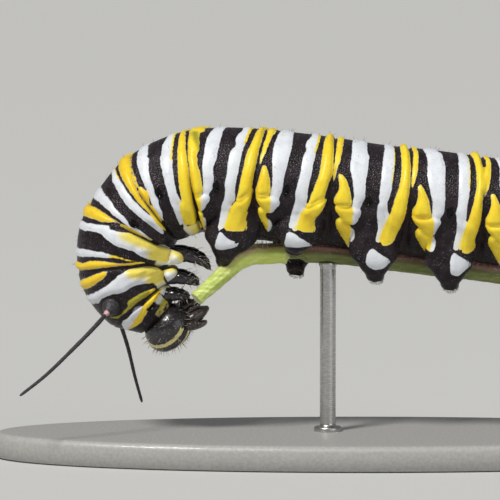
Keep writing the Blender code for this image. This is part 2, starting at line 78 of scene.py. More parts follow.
# Fold lines: how far each bows rearward at these degrees round, as a share of the ring.
FOLD_ANGLES = (0.0, 30.0, 60.0, 90.0, 120.0, 150.0, 180.0)
FOLD_BOW = (
    (0, 0, 0, 0, 0, 0, 0),
    (-0.02, -0.01, 0.0, 0.03, 0.06, 0.06, 0.04),
    (-0.015, -0.01, 0.03, 0.10, 0.15, 0.12, 0.06),
    (0.02, 0.05, 0.035, -0.045, -0.065, -0.07, -0.05),
    (0.0, -0.045, -0.17, -0.21, -0.19, -0.12, -0.05),
    (0.0, -0.035, -0.08, -0.11, -0.12, -0.12, -0.06),
    (0.005, -0.015, -0.06, -0.115, -0.115, -0.12, -0.06),
    (-0.02, -0.015, 0.0, 0.0, -0.01, 0.0, 0.0),
    (-0.06, -0.02, -0.01, 0.035, 0.0, 0.01, 0.0),
    (-0.055, -0.035, 0.0, 0.02, 0.01, 0.01, 0.0),
    (-0.05, -0.03, 0.0, 0.02, 0.01, 0.01, 0.0),
    (-0.02, -0.01, 0.0, 0.02, 0.01, 0.0, 0.0),
    (-0.02, -0.01, 0.0, 0.02, 0.01, 0.0, 0.0),
    (0, 0, 0, 0, 0, 0, 0),
)

# Light markings on the black skin: ring, kind, rise of a white or yellow one or softness of a tint in mm, and
# the outline, with each corner's place in hundredths of the ring and its degrees from the back. A tint
# colours the others yellow, a very soft one lemon, and an olive one olive.
MARKINGS = (
    (7, "yellow", 0.07, (1, -20, 1, 10, 0, 30, -0.5, 50, -1, 60, -1, 70, 1, 77, 3, 72, 5, 60, 7, 50, 8.5, 30,
     9.5, 10, 10, -20)),
    (7, "white", 0.03, (21, -20, 21, 10, 20, 20, 20.5, 40, 20, 58, 22.5, 68, 26, 78, 28, 88, 28, 96,
     27.5, 101, 28, 108, 29, 115, 30, 122, 31, 126, 33, 126, 36, 122, 38, 117, 40, 112, 40, 108, 38, 104,
     40, 99, 42, 93, 43, 88, 42, 80, 42.5, 65, 43, 50, 43, 40, 41, 33, 40, 20, 40, 10, 40, -20)),
    (7, "yellow", 0.18, (6.5, 70, 9, 68, 14, 71, 18, 76, 21, 81, 24, 87, 26, 93, 27, 100, 24, 103, 16, 103,
     9, 104, 4.5, 102, 3.5, 97, 6, 91, 8.5, 85, 7.5, 78)),
    (7, "white", 0.18, (6, 105, 12, 104, 20, 104, 28, 103, 36, 104, 40, 108, 40, 112, 38, 117, 36, 122,
     32, 126, 25, 126, 19, 123, 15, 118, 11, 114, 7.5, 110)),
    (7, "tint", 0.1, (0, 103, 20, 102, 26, 101, 30, 106, 30, 114, 31, 121, 30, 132, 20, 132, 4, 120)),
    (7, "white", 0.18, (10, 121, 15, 118, 24, 125, 34, 134, 36, 143, 35, 154, 32, 163, 23.5, 152, 15, 141,
     10, 129)),
    (7, "tint", 0.08, (4, 115, 14, 113, 24, 120, 30, 130, 30.5, 146, 29, 158, 33, 176, 15, 176, 4, 140)),
    (7, "white", 0.03, (63, -20, 62.5, 20, 61.5, 40, 61, 60, 60.5, 80, 60.5, 88, 62, 93, 60, 98, 59.5, 104,
     60.5, 112, 62.5, 120, 63.5, 128, 62.5, 138, 62, 146, 63, 152, 67, 150, 69, 140, 70, 128, 72, 118,
     74, 110, 73, 104, 72.5, 97, 72, 92, 74, 86, 75.5, 78, 76.5, 65, 77, 50, 77, 38, 76, 20, 75, 8, 75, -20)),
    (7, "tint", 0.05, (74.5, -20, 74.5, 5, 75.5, 30, 76, 50, 75, 70, 79, 70, 79.5, 50, 79.5, 30, 79, 5,
     79, -20)),
    (7, "yellow", 0.15, (83, -20, 82.5, 8, 83.5, 22, 85, 40, 86, 55, 85.5, 66, 84, 76, 81, 86, 79, 96,
     77, 104, 74.5, 110, 72.5, 118, 70, 126, 68, 136, 67, 146, 68, 153, 72, 158, 78, 157, 83, 151, 87, 142,
     88.5, 132, 92, 122, 95.5, 112, 97, 102, 97.5, 92, 98.5, 80, 98.5, 65, 98, 50, 96, 32, 94.5, 15, 93.5, 0,
     93.5, -20)),
    (7, "white", 0.13, (7, 97, 14, 100, 21, 99, 25, 100, 25.5, 106, 20, 108, 13, 108, 8, 107)),
    (8, "yellow", 0.07, (-1, -20, -2, 8, 0, 20, 0, 45, -0.5, 60, 0, 70, 2, 74, 4, 68, 6.5, 58, 7.5, 45,
     7.5, 30, 6.5, 18, 5, 8, 4, -20)),
    (8, "white", 0.03, (13, -20, 14, 10, 15, 16, 17.5, 25, 19.5, 35, 20, 50, 21, 60, 24, 69, 27, 77, 30, 85,
     31, 92, 31.5, 100, 32, 105, 36, 112, 37, 120, 37, 126, 39, 125, 41, 118, 44, 112, 45, 108, 43, 104,
     47, 99, 48, 94, 48, 86, 47, 76, 45.5, 64, 45, 54, 44.5, 42, 42, 32, 40, 20, 38, 14, 35, 9, 34, -20)),
    (8, "yellow", 0.18, (9, 71, 13, 69, 17, 73, 21, 78, 25, 84, 28, 91, 30.5, 98, 31, 103, 27, 104, 20, 105,
     12, 106, 6, 106, 4.5, 101, 6, 96, 9, 90, 10.5, 84, 10, 77)),
    (8, "white", 0.18, (5, 106, 14, 106, 24, 105, 32, 103, 40, 104, 45, 108, 44, 113, 41, 119, 38, 126,
     33, 128, 27, 127, 21, 124, 15, 118, 10, 114)),
    (8, "white", 0.13, (6, 99, 14, 102, 24, 101, 29, 101, 29.5, 107, 22, 108, 14, 108, 7, 108)),
    (8, "tint", 0.1, (0, 104, 20, 102, 31, 102, 35, 107, 36.5, 114, 36.5, 121, 36, 133, 20, 133, 0, 116)),
    (8, "white", 0.18, (13, 122, 19, 118, 29, 125, 38.5, 131, 41, 141, 40, 153, 37, 164, 28, 153, 19, 142,
     12.5, 131)),
    (8, "tint", 0.08, (4, 118, 19, 113, 30, 119, 35, 130, 36, 143, 33.5, 157, 35, 178, 15, 176, 4, 140)),
    (8, "white", 0.03, (60, -20, 61, 8, 62, 20, 63, 40, 64, 60, 65, 78, 65, 88, 63.5, 94, 65, 100, 66, 108,
     67, 116, 66.5, 124, 65, 134, 64.5, 142, 66, 148, 71, 149, 75, 145, 76, 135, 77, 125, 78.5, 114,
     79.5, 108, 78.5, 100, 78, 90, 79, 80, 80, 68, 80, 55, 79, 42, 78, 30, 76.5, 18, 74.5, 6, 74, -20)),
    (8, "tint", 0.05, (73.5, -20, 73.5, 5, 76.5, 25, 78, 45, 78.5, 65, 82, 65, 82, 45, 80.5, 25, 78, 5,
     77.5, -20)),
    (8, "yellow", 0.15, (79, -20, 79.5, 6, 82.5, 20, 85, 32, 86.5, 42, 88, 55, 88.5, 65, 87, 76, 84.5, 88,
     82, 98, 79.5, 106, 77.5, 114, 76, 124, 74.5, 136, 75, 147, 78, 153, 86, 154, 91, 149, 96, 143, 95.5, 137,
     93.5, 130, 95, 121, 97.5, 112, 99, 102, 99, 90, 98.5, 76, 98.5, 60, 98, 45, 96.5, 33, 95, 25, 94, 12,
     93, -20)),
    (8, "yellow", 0.12, (94, 36, 98, 33, 104, 38, 106, 52, 104, 66, 98, 70, 94, 60)),
    (6, "yellow", 0.07, (3, -20, 2, 10, 1, 22, -1, 35, -4, 50, -6, 62, -5, 68, -2.5, 63, 1, 55, 4, 46,
     6.5, 38, 9, 28, 12, 20, 14, 13, 14, 5, 13, -20)),
    (6, "white", 0.03, (22, -20, 20.5, 5, 18.5, 15, 16.5, 25, 14, 35, 12, 45, 11.5, 55, 12, 65, 13.5, 75,
     14.5, 85, 14, 92, 13.5, 98, 14, 104, 16, 112, 17, 118, 18, 122, 20, 120, 23, 116, 26.5, 112, 28, 108,
     26.5, 103, 29, 97, 30, 90, 30.5, 84, 31.5, 76, 33, 70, 34.5, 60, 36.5, 50, 38, 40, 38.5, 20, 39.5, 5,
     40, -20)),
    (6, "yellow", 0.18, (0, 68, 4, 69, 7.5, 74, 10, 80, 12, 87, 13.5, 94, 13, 98, 9, 100, 2, 101, -5, 102,
     -8.5, 99, -9, 94, -7, 88, -5, 82, -3, 75)),
    (6, "white", 0.18, (-8, 104, 0, 102, 8, 101, 14, 100, 22, 101, 28, 106, 27, 111, 23, 116, 19, 121,
     14, 122, 10, 120, 4, 116, -1, 113, -5, 109)),
    (6, "tint", 0.12, (-12, 101, 6, 99, 12, 98, 15, 104, 15.5, 112, 13, 126, -8, 120)),
    (6, "white", 0.18, (-2, 116, 5, 115, 10, 119, 10, 124, 12, 129, 18, 132, 20.5, 139, 19.5, 146, 17, 151,
     12, 147, 7, 139, 1.5, 130, -2, 123)),
    (6, "tint", 0.08, (-8, 111, 11, 114, 12.5, 122, 14, 130, 15.5, 139, 14.5, 147, 14, 165, -8, 160)),
    (6, "white", 0.03, (65, -20, 64.5, 10, 62, 20, 58, 30, 56.5, 36, 58, 44, 56, 50, 53.5, 60, 53, 70, 51, 80,
     49, 90, 48.5, 96, 49.5, 101, 48, 110, 46.5, 118, 45, 128, 44, 138, 44.5, 142, 50, 143, 55, 142, 57, 132,
     59, 124, 61, 116, 64, 110, 66, 108, 66.5, 100, 66, 92, 67.5, 80, 70, 62, 73, 42, 75.5, 30, 77, 15,
     78, -20)),
    (6, "tint", 0.05, (75, -20, 74, 10, 72.5, 30, 70, 45, 76, 45, 79, 30, 80, 10, 81, -20)),
    (6, "yellow", 0.15, (86, -20, 85, 5, 83, 20, 82, 32, 81, 45, 81, 55, 80, 65, 79, 73, 76, 82, 73, 90,
     70, 99, 67.5, 106, 67, 109, 72, 107, 80, 103, 88, 99, 91, 95, 92, 90, 93.5, 84, 96, 76, 98.5, 70,
     98.5, 60, 97.5, 48, 96.5, 30, 96, 10, 96, -20)),
    (6, "yellow", 0.2, (93.5, 98, 88, 100, 80, 103, 72, 107, 66, 110, 61, 114, 59, 120, 61, 126, 68, 127,
     76, 126, 81, 124, 85, 119, 89, 113, 92, 107, 94, 102)),
    (6, "yellow", 0.12, (60, 123, 57.5, 130, 56, 136, 55, 142, 60, 145, 68, 148, 77, 148, 84, 146, 84.5, 143,
     82, 136, 80, 129, 79, 125, 70, 127)),
    (6, "white", 0.13, (-8, 97, 0, 96, 8, 97, 11.5, 97, 12, 103, 5, 105, -6, 106)),
    (6, "yellow", 0.13, (70, 103, 80, 98, 88, 94, 92, 99, 88, 104, 80, 108, 72, 112, 66, 112, 65, 107)),
    (6, "yellow", 0.13, (61, 119, 70, 120, 78, 119, 82, 123, 79, 129, 70, 132, 60, 129, 58, 123)),
    (5, "yellow", 0.08, (0, -20, 0, 8, -1, 20, -3, 30, -5, 40, -7, 52, -6, 61, 0, 61, 5, 61, 8, 55, 11, 50,
     12, 45, 12.5, 35, 14, 25, 16, 20, 20, 17, 21.5, 12, 22, 5, 23, -20)),
    (5, "olive", 0.22, (3, 20, 7, 19, 12, 21, 13, 34, 13.5, 48, 13, 58, 11.5, 60, 9, 50, 6.5, 42, 3.5, 32)),
    (5, "yellow", 0.11, (-7, 56, 5, 56, 7, 60, 5, 67, -7, 68)),
    (5, "yellow", 0.16, (-7, 63, -2, 62, 4, 62, 6.5, 68, 8, 75, 9, 82, 9.5, 90, 9, 97, 6, 100, 0, 102,
     -7, 101, -10, 96, -10.5, 85, -9.5, 75)),
    (5, "white", 0.03, (36, -20, 34, 0, 32, 10, 29, 18, 26, 25, 22, 35, 20, 42, 17, 55, 14.5, 62, 12.5, 70,
     12, 80, 10.5, 90, 9.5, 95, 8, 100, 5, 106, 4, 112, 5, 117, 8, 118, 12, 114, 18, 108, 19, 105, 18.5, 101,
     24.5, 95, 27, 88, 28, 80, 28.5, 72, 33, 65, 34.5, 60, 37.5, 50, 40, 40, 42.5, 30, 44.5, 20, 47, 10,
     50, 0, 53, -20)),
    (5, "white", 0.18, (-8, 104, 0, 102, 8, 100, 15, 100, 19, 104, 18, 109, 12, 114, 7, 119, 0, 122, -4, 118,
     -7, 110)),
    (4, "tint", 0.12, (88, 101, 100, 100, 105, 102, 104, 110, 103, 116, 100, 126, 90, 122)),
    (5, "white", 0.14, (-6, 123, 0, 122, 4, 125, 4, 130, 7, 133, 7.5, 139, 6, 147, 5, 155, 3, 161, 0, 152,
     -2, 143, -5, 133)),
    (4, "tint", 0.08, (91, 120, 103, 122, 104, 130, 103, 140, 102, 165, 94, 160)),
    (5, "white", 0.03, (71, -20, 70, 10, 68.5, 19, 65, 25, 61, 35, 60.5, 46, 55, 52, 51, 60, 49, 70, 47, 80,
     44, 90, 43, 100, 42, 105, 39.5, 111, 36, 116, 35, 122, 33.5, 132, 32, 142, 30, 152, 31, 157, 37, 157,
     40, 150, 43, 142, 46, 134, 49, 126, 51, 119, 55, 113, 59, 110, 59.5, 102, 60, 92, 63, 82, 65.5, 71,
     68, 61, 71, 50, 75, 40, 78, 30, 80, 20, 82, 10, 85, 0, 88, -20)),
    (5, "tint", 0.05, (85, -20, 80, 5, 77, 20, 75, 30, 72, 42, 78, 42, 81, 30, 83, 20, 86, 5, 91, -20)),
    (5, "yellow", 0.15, (94, -20, 92, 0, 89, 12, 86.5, 22, 84.5, 32, 82, 40, 78, 50, 74.5, 60, 72, 70, 69, 80,
     66, 90, 63.5, 100, 61.5, 108, 66, 107, 75, 103, 82, 99, 85, 95, 86, 90, 87, 80, 89.5, 70, 91.5, 60,
     92.5, 50, 94.5, 40, 96, 30, 97.5, 20, 98.5, 8, 99.5, -20)),
    (5, "yellow", 0.2, (86, 97, 82, 100, 75, 103, 66, 108, 60, 110, 55, 114, 51, 119, 50, 125, 56, 127,
     64, 127, 72, 126, 77, 123, 82, 117, 85, 110, 86.5, 103)),
    (5, "yellow", 0.12, (50, 125, 46, 134, 43, 142, 40.5, 150, 42, 157, 50, 159, 62, 160, 73, 159, 80, 156,
     83, 150, 82, 143, 79, 135, 76, 129, 72, 127, 64, 128, 56, 128)),
    (5, "white", 0.13, (-8, 97, -1, 96, 5, 98, 7.5, 98, 6.5, 103, 0, 105, -7, 106)),
    (5, "yellow", 0.13, (67, 103, 76, 98, 84, 93, 89, 97, 84, 103, 76, 108, 68, 112, 62, 112, 61, 107)),
    (5, "yellow", 0.13, (51, 121, 60, 122, 70, 122, 78, 119, 81, 124, 77, 130, 66, 133, 54, 133, 46, 130,
     48, 125)),
    (5, "white", 0.08, (46, 106, 50, 111, 55, 118, 58, 126, 56, 123, 51, 134, 47, 145, 38, 146, 40, 134,
     44, 121)),
    (5, "tint", 0.3, (52, 118, 60, 120, 58, 130, 53, 140, 48, 152, 39, 150, 44, 138, 48, 128)),
    (6, "white", 0.08, (58, 100, 62, 105, 67, 113, 69, 122, 64, 128, 61, 138, 58, 146, 50, 146, 52, 136,
     54, 126, 57, 114)),
    (6, "tint", 0.3, (64, 114, 72, 116, 69, 126, 64, 142, 60, 150, 52, 150, 56, 134, 60, 122)),
    (7, "white", 0.08, (70, 98, 74, 103, 78, 111, 79, 120, 75, 130, 72, 142, 69, 150, 63, 150, 65, 138,
     67, 124, 69, 112)),
    (7, "tint", 0.3, (75, 112, 82, 114, 80, 124, 75, 144, 71, 154, 65, 152, 68, 134, 71, 122)),
    (8, "white", 0.08, (75, 98, 79, 103, 84, 111, 84, 120, 81, 130, 79, 142, 72, 148, 70, 138, 72, 120)),
    (8, "tint", 0.3, (80, 112, 88, 114, 86, 124, 82, 142, 76, 152, 71, 148, 74, 130, 77, 120)),
    (4, "white", 0.08, (50, 100, 56, 104, 62, 111, 63, 118, 57, 124, 55, 136, 42, 140, 42, 126, 47, 112)),
    (4, "tint", 0.3, (56, 104, 66, 104, 64, 116, 60, 142, 46, 142, 48, 128, 52, 114)),
    (4, "white", 0.09, (38, 139, 50, 139, 64, 140, 80, 140, 94, 143, 97, 150, 88, 158, 74, 164, 58, 166,
     46, 161, 39, 151)),
    (4, "tint", 0.5, (54, 137, 70, 138, 100, 140, 102, 166, 70, 172, 60, 156)),
    (3, "yellow", 0.07, (98, -20, 98, 8, 95, 24, 90, 40, 86, 52, 83, 62, 86, 67, 89, 61, 91, 54, 93, 46,
     95, 37, 97, 28, 100, 16, 102, 5, 103, -20)),
    (3, "yellow", 0.12, (80, 72, 85, 66, 91, 68, 96, 74, 99, 78, 96, 83, 91, 86, 86, 91, 81, 92, 79, 82)),
    (3, "yellow", 0.08, (80, 94, 87, 91, 91, 95, 91, 105, 90, 114, 86, 119, 82, 116, 80, 105)),
    (4, "white", 0.03, (19, -20, 17, 0, 14.5, 10, 11, 20, 7, 30, 4, 40, 1.5, 50, 0, 60, -1.5, 70, -3, 78,
     -5, 84, -8, 90, -10, 98, -10, 108, -8, 116, -4, 117, 0, 112, 4, 108, 6, 104, 7, 96, 10, 92, 11, 85,
     13, 78, 14, 70, 16, 60, 21, 50, 25.5, 42, 26, 35, 29, 28, 31, 20, 33, 10, 36, 0, 38, -20)),
    (4, "white", 0.03, (66, -20, 65, 0, 64, 10, 59, 20, 53, 30, 49, 40, 43, 50, 41, 60, 39, 70, 36.5, 80,
     34.5, 90, 33.5, 100, 33, 110, 32.5, 120, 32, 130, 34, 134, 42, 133, 47, 128, 49, 118, 52, 109, 56, 104,
     58, 102, 55.5, 96, 54.5, 90, 57, 80, 60, 70, 62.5, 60, 66.5, 50, 70, 40, 73.5, 30, 76.5, 20, 79, 10,
     80, 0, 81, -20)),
    (4, "tint", 0.06, (79, -20, 76, 5, 73, 20, 70, 30, 66, 42, 61, 55, 66, 55, 71, 42, 75, 30, 78, 20, 81, 5,
     83, -20)),
    (4, "yellow", 0.12, (89, -20, 87, 5, 84, 20, 81, 30, 78.5, 40, 75, 50, 72, 60, 69, 70, 65, 80, 62, 90,
     60, 100, 57, 104, 52, 107, 48, 113, 46.5, 121, 47, 130, 54, 137, 66, 140, 78, 140, 86, 136, 88, 126,
     86.5, 112, 87, 100, 88, 90, 89, 80, 90, 70, 90.5, 60, 91, 50, 92, 40, 93, 30, 94, 20, 95, 8, 95, -20)),
    (2, "yellow", 0.04, (97, 76, 100, 74, 103, 76, 105, 82, 104, 90, 101, 98, 99, 108, 98, 116, 95.5, 118,
     95.5, 105, 95.5, 90)),
    (3, "white", 0.03, (12, -20, 12.5, 0, 13.5, 15, 14, 30, 13.5, 40, 12.5, 50, 10, 60, 8, 70, 6, 79, 3, 88,
     0, 98, -3, 108, -4, 120, 2, 121, 6, 112, 11, 101, 12, 95, 11, 87, 15.5, 80, 20, 71, 22.5, 60, 26.5, 53,
     29.5, 46, 30.5, 32, 33, 20, 34, 5, 34.5, -20)),
    (3, "white", 0.03, (61, -20, 60.5, 5, 59, 16, 56, 24, 53, 30, 51.5, 40, 48.5, 50, 45.5, 60, 42, 70,
     41, 80, 40.5, 90, 41.5, 100, 43, 110, 45, 120, 48, 128, 60, 130, 68, 126, 70, 118, 69, 112, 69, 106,
     68.5, 102, 65, 97, 62.5, 90, 61.5, 80, 61.5, 70, 62.5, 60, 64, 50, 65, 40, 67, 30, 68.5, 20, 70, 5,
     70, -20)),
    (3, "tint", 0.05, (68, -20, 68, 5, 66, 22, 63.5, 38, 68, 38, 71, 22, 73, 5, 73, -20)),
    (3, "yellow", 0.12, (75.5, -20, 75.5, 10, 73.5, 20, 71.5, 30, 69.5, 40, 68, 50, 66.5, 60, 65.5, 70,
     65, 80, 66.5, 90, 68, 99, 66, 106, 64, 113, 66, 120, 70, 128, 74, 132, 80, 130, 81.5, 118, 80, 108,
     79, 99, 78, 90, 77.5, 80, 79, 72, 82, 64, 84.5, 57, 87.5, 50, 90, 41, 94, 31, 97, 20, 98, 5, 98, -20)),
    (2, "yellow", 0.09, (-2, -20, -1, 10, 0, 25, 2, 38, 4, 50, 6.5, 60, 9, 70, 12, 80, 14, 90, 16, 100,
     21, 112, 24, 118, 27, 116, 26, 108, 24, 100, 20, 90, 19.5, 80, 20, 70, 20, 60, 19, 50, 17, 42, 13, 32,
     13, 20, 15, 0, 15, -20)),
    (2, "white", 0.03, (21.5, -20, 21.5, 20, 22, 30, 23.5, 40, 25, 50, 26, 60, 27, 68, 29, 76, 29, 84, 26, 92,
     25, 100, 26, 106, 28, 104, 29, 98, 31, 90, 34, 80, 36, 70, 36.5, 60, 36, 50, 35.5, 35, 34.5, 20,
     34.5, -20)),
    (2, "tint", 0.12, (26, 74, 34, 72, 38, 80, 34, 92, 30, 104, 24, 110, 22, 98, 26, 86)),
    (2, "white", 0.03, (63, -20, 62.5, 20, 63, 30, 66, 40, 68, 50, 68, 57, 64, 62, 60, 70, 56, 75, 54, 80,
     53, 90, 52, 100, 47, 105, 42, 112, 38, 120, 36, 130, 38, 137, 46, 138, 60, 139, 75, 138, 86, 136,
     89, 130, 91, 120, 92.5, 112, 93, 104, 92.5, 95, 92, 88, 89, 83, 86, 77, 83.5, 70, 83, 66, 88, 63,
     86.5, 60, 82, 50, 79, 40, 76.5, 30, 75.5, 20, 75, 5, 75, -20)),
    (2, "tint", 0.25, (73, 84, 77, 80, 82, 78, 86, 80, 97, 90, 101, 100, 99, 115, 95, 130, 85, 140, 76, 138,
     70, 132, 68, 122, 67, 112, 68, 100, 70, 92)),
    (2, "yellow", 0.1, (82, -20, 82, 5, 83.5, 20, 85, 30, 86.5, 40, 88, 50, 90, 57, 94, 62, 97, 66, 100.5, 71,
     103, 73, 103, 66, 103.5, 57, 104.5, 45, 104.5, 32, 102, 12, 101, -20)),
    (2, "white", 0.05, (22, 150, 27, 137, 44, 129, 68, 127, 90, 133, 101, 148, 99, 164, 82, 176, 48, 178,
     28, 168)),
    (2, "tint", 0.36, (36, 122, 60, 118, 86, 124, 92, 142, 84, 156, 60, 154, 42, 144, 30, 134)),
    (1, "white", 0.05, (0, 152, 8, 138, 30, 129, 58, 127, 80, 134, 89, 149, 84, 166, 66, 177, 30, 178,
     6, 168)),
    (1, "tint", 0.34, (30, 120, 60, 116, 84, 124, 88, 146, 66, 152, 44, 146, 24, 134)),
    (0, "white", 0.04, (40, 130, 58, 119, 82, 116, 100, 119, 105, 134, 98, 154, 80, 168, 50, 168, 28, 156,
     28, 142)),
    (0, "tint", 0.25, (40, 128, 64, 114, 98, 112, 108, 126, 100, 150, 76, 160, 50, 152)),
    (1, "yellow", 0.08, (83, 8, 71.5, 4, 70.5, 22, 74, 40, 80, 52, 87, 62, 97.5, 69, 100.5, 65, 96, 54,
     91, 40, 87, 23)),
    (1, "white", 0.05, (59.5, 4, 49, 4, 44.5, 36, 49, 44, 52, 54, 52.5, 65, 50.5, 74, 49.5, 82, 54.5, 92,
     55.5, 103, 52, 113, 41.5, 128, 40, 135, 53.5, 145, 77.5, 155, 107, 144, 113.5, 127, 110.5, 110,
     106.5, 98, 102.5, 92, 92, 82, 82, 75, 74, 65, 68, 54, 63.5, 37)),
    (1, "tint", 0.25, (106.5, 90, 113.5, 110, 118, 129, 109.5, 147, 68.5, 156, 48, 141, 55.5, 128, 73.5, 116,
     75, 106, 80, 97, 89.5, 92)),
    (1, "yellow", 0.05, (17.5, 33, 11.5, 50, 12.5, 60, 16.5, 73, 25, 76, 29, 86, 29, 107, 20.5, 125, 12, 126,
     11, 109, 12, 89, 9, 68, 7.5, 46)),
    (1, "olive", 0.1, (17, 28, 26.5, 43, 30.5, 71, 31, 85, 31.5, 107, 26, 115, 10.5, 110, 9, 87, 8, 66,
     5, 43)),
    (0, "white", 0.05, (94.5, 46, 65, 24, 43, 6, 44, 49, 56, 69, 64, 82, 76, 92, 101, 87, 102.5, 75,
     92.5, 60)),
    (0, "yellow", 0.04, (9, 94, 17, 106, 21.5, 121, 14, 135, 0, 139, 0, 123, 0, 106, 0, 93)),
    (0, "olive", 0.2, (5, 87, 28.5, 110, 23, 135, 0, 147, 0, 118, 0, 90)),
    (0, "yellow", 0.07, (45, 23, 28.5, 57, 38.5, 76, 54.5, 94, 61.5, 111, 58.5, 126, 65, 139, 104, 134,
     107, 121, 103, 105, 90, 89, 73.5, 80, 65.5, 66, 51.5, 48)),
)

SHARED_RINGS = {9: 8, 10: 8}  # rings that repeat another ring's markings

# Rear rings, with shorter bands and a dark shield over the tail.
REAR_MARKINGS = (
    (11, "white", 0.03, (12, -20, 12, 30, 14, 60, 20, 85, 30, 100, 38, 96, 36, 70, 34, 40, 34, -20)),
    (11, "yellow", 0.08, (66, -20, 66, 30, 62, 60, 60, 90, 64, 118, 74, 130, 88, 124, 92, 100, 92, 60, 90, 30,
     90, -20)),
    (12, "yellow", 0.05, (8, -20, 8, 30, 10, 60, 16, 88, 26, 108, 40, 118, 52, 108, 44, 92, 34, 74, 26, 50,
     23, 25, 22, -20)),
    (12, "white", 0.03, (14, 70, 20, 90, 32, 106, 44, 112, 50, 106, 40, 92, 32, 74, 24, 58)),
)

# Pale patches on the outer face of the left prolegs, as (x, z) in mm.
LEG_PATCHES = {
    "proleg_3_left": ((-9.16, 13.47), (-8.94, 14.18), (-8.72, 14.28), (-8.41, 13.92), (-8.04, 13.74),
                      (-7.60, 13.52), (-7.83, 13.34), (-8.31, 13.20), (-8.76, 13.13), (-9.08, 13.22)),
    "proleg_4_left": ((-4.87, 13.45), (-4.74, 14.10), (-4.64, 14.32), (-4.29, 14.23), (-3.85, 13.92),
                      (-3.41, 13.65), (-3.14, 13.43), (-3.41, 13.34), (-3.94, 13.30), (-4.48, 13.31)),
    "proleg_5_left": ((0.19, 12.53), (0.30, 12.98), (0.51, 13.30), (0.79, 13.16), (1.06, 12.93),
                      (1.51, 12.67), (1.75, 12.45), (1.55, 12.22), (1.24, 11.97), (0.79, 11.91),
                      (0.44, 12.05), (0.22, 12.27)),
    "proleg_6_left": ((5.39, 12.13), (5.44, 12.67), (5.57, 13.05), (5.88, 12.85), (6.33, 12.58),
                      (6.69, 12.36), (6.82, 12.22), (6.42, 11.95), (6.06, 11.60), (5.79, 11.51),
                      (5.48, 11.68)),
    "clasper_left": ((17.65, 10.95), (17.75, 11.50), (18.20, 11.80), (18.75, 11.70), (19.10, 11.35),
                     (19.00, 10.90), (18.50, 10.62), (18.00, 10.62)),
}

PATCH_RISE, PATCH_LIMIT = 0.09, 0.35  # rise of a patch and largest distance that its field keeps, in mm

# How the markings lie on the skin, in mm: width of their raised edge, scale and least of their rise, how far
# past its outline a marking reaches, the radius that the degrees round are measured on, and the height of a
# full ring.
EDGE_WIDTH, EDGE_SCALE, EDGE_LEAST = 0.30, 1.25, 0.05
MARK_REACH, HALF_GIRTH, FULL_HEIGHTS = 0.9, 3.1, 6.2
LEMON_FROM = 0.2  # softness in mm above which a tint is lemon
# Largest distance that each field keeps: in mm, and for the tints in parts of their softness.
FIELD_LIMITS = {"white": 0.35, "even": 0.35, "odd": 0.35, "tint": 3.0, "lemon": 3.0, "olive": 3.0}

# Folds: mm of a ring with full folds, and the degrees round from and over which the belly smooths them.
FULL_RING, KEEL_FROM, KEEL_OVER = 3.4, 138.0, 22.0

# Rings that close the ends of the skin: mm towards the tail, and share of the ring's size.
NECK_STEPS = ((-0.30, 0.55), (-0.27, 0.80), (-0.18, 0.93))
TAIL_STEPS = ((0.10, 0.80), (0.16, 0.5), (0.19, 0.2))

# Slack of the belly between the prolegs: depth in mm, the places along the body that it lies between, and
# degrees round where it starts.
SAG, SAG_ALONG, SAG_FROM = 0.42, (4.9, 12.4), 138.0

# Prolegs: node, ring, side, and tip at (x, y, z) in mm, near those of the solids.
PROLEGS = (
    ("proleg_3_left", 5, -1, (-8.60, -0.85, 12.05)),
    ("proleg_3_right", 5, 1, (-7.75, 0.40, 12.15)),
    ("proleg_4_left", 6, -1, (-4.25, -1.10, 12.95)),
    ("proleg_4_right", 6, 1, (-4.10, 0.95, 11.30)),
    ("proleg_5_left", 7, -1, (0.86, -0.90, 11.15)),
    ("proleg_5_right", 7, 1, (1.05, 0.95, 11.50)),
    ("proleg_6_left", 8, -1, (5.50, -0.90, 10.62)),
    ("proleg_6_right", 8, 1, (5.66, 0.95, 10.95)),
    ("clasper_left", 12, -1, (18.30, -0.95, 9.75)),
    ("clasper_right", 12, 1, (18.45, 0.95, 9.80)),
)
PROLEG_RINGS, CLASPER_RING = (5, 6, 7, 8), 12
PROLEG_ALONG, PROLEG_ROUND, PROLEG_ROOT_DEPTH, PROLEG_DROP = 0.64, 136.0, 0.45, 0.65
PROLEG_BULGE, CLASPER_BULGE, CLASPER_SCALE = 1.85, 1.0, 0.80
PROLEG_SHAPE = (
    # share of the way to the tip, half length along the body, half width across it
    (0.00, 1.45, 0.95), (0.25, 1.52, 0.98), (0.45, 1.50, 0.90), (0.62, 1.22, 0.72),
    (0.76, 0.84, 0.56), (0.88, 0.56, 0.46), (0.96, 0.44, 0.38), (1.00, 0.24, 0.22),
)
# The skin that is drawn out into a proleg: its middle in degrees round, half length and half width in mm.
SOCKET_ROUND, SOCKET_HALF = 140.0, (1.72, 1.38)
SOCKET_SHARE, SOLE_SHARE = 0.22, 0.955  # share of the way to the tip at the socket's rim and at the sole
SOCKET_BLEND, SOLE_EDGE = 0.38, 0.13  # parts of the patch: the leg blends in, the sole rounds off
PROLEG_TRIM = 0.30  # how much of its rear half the first proleg gains above and loses below
PROLEG_BACK = 0.16  # how far the middle of a proleg bows to the front, in mm
FLESH_RING, FLESH_RINGS = 0.022, 38.0  # depth of the soft rings round a leg, and how close they are

# Hooks round the sole of a proleg, the half sizes of their ring in mm, its share of the way and a share past
# it, how far they splay and stand out, their least and most length in mm, and the bend in degrees and radii
# of one 1 mm long.
HOOKS, HOOK_RING, HOOK_SHARES, HOOK_SPLAY, HOOK_OUT = 34, (0.40, 0.33), (0.925, 0.99), 0.35, 0.02
HOOK_LENGTHS, HOOK_BEND, HOOK_RADII = (0.17, 0.23), 150.0, (0.10, 0.10, 0.095, 0.085, 0.07, 0.045, 0.012)

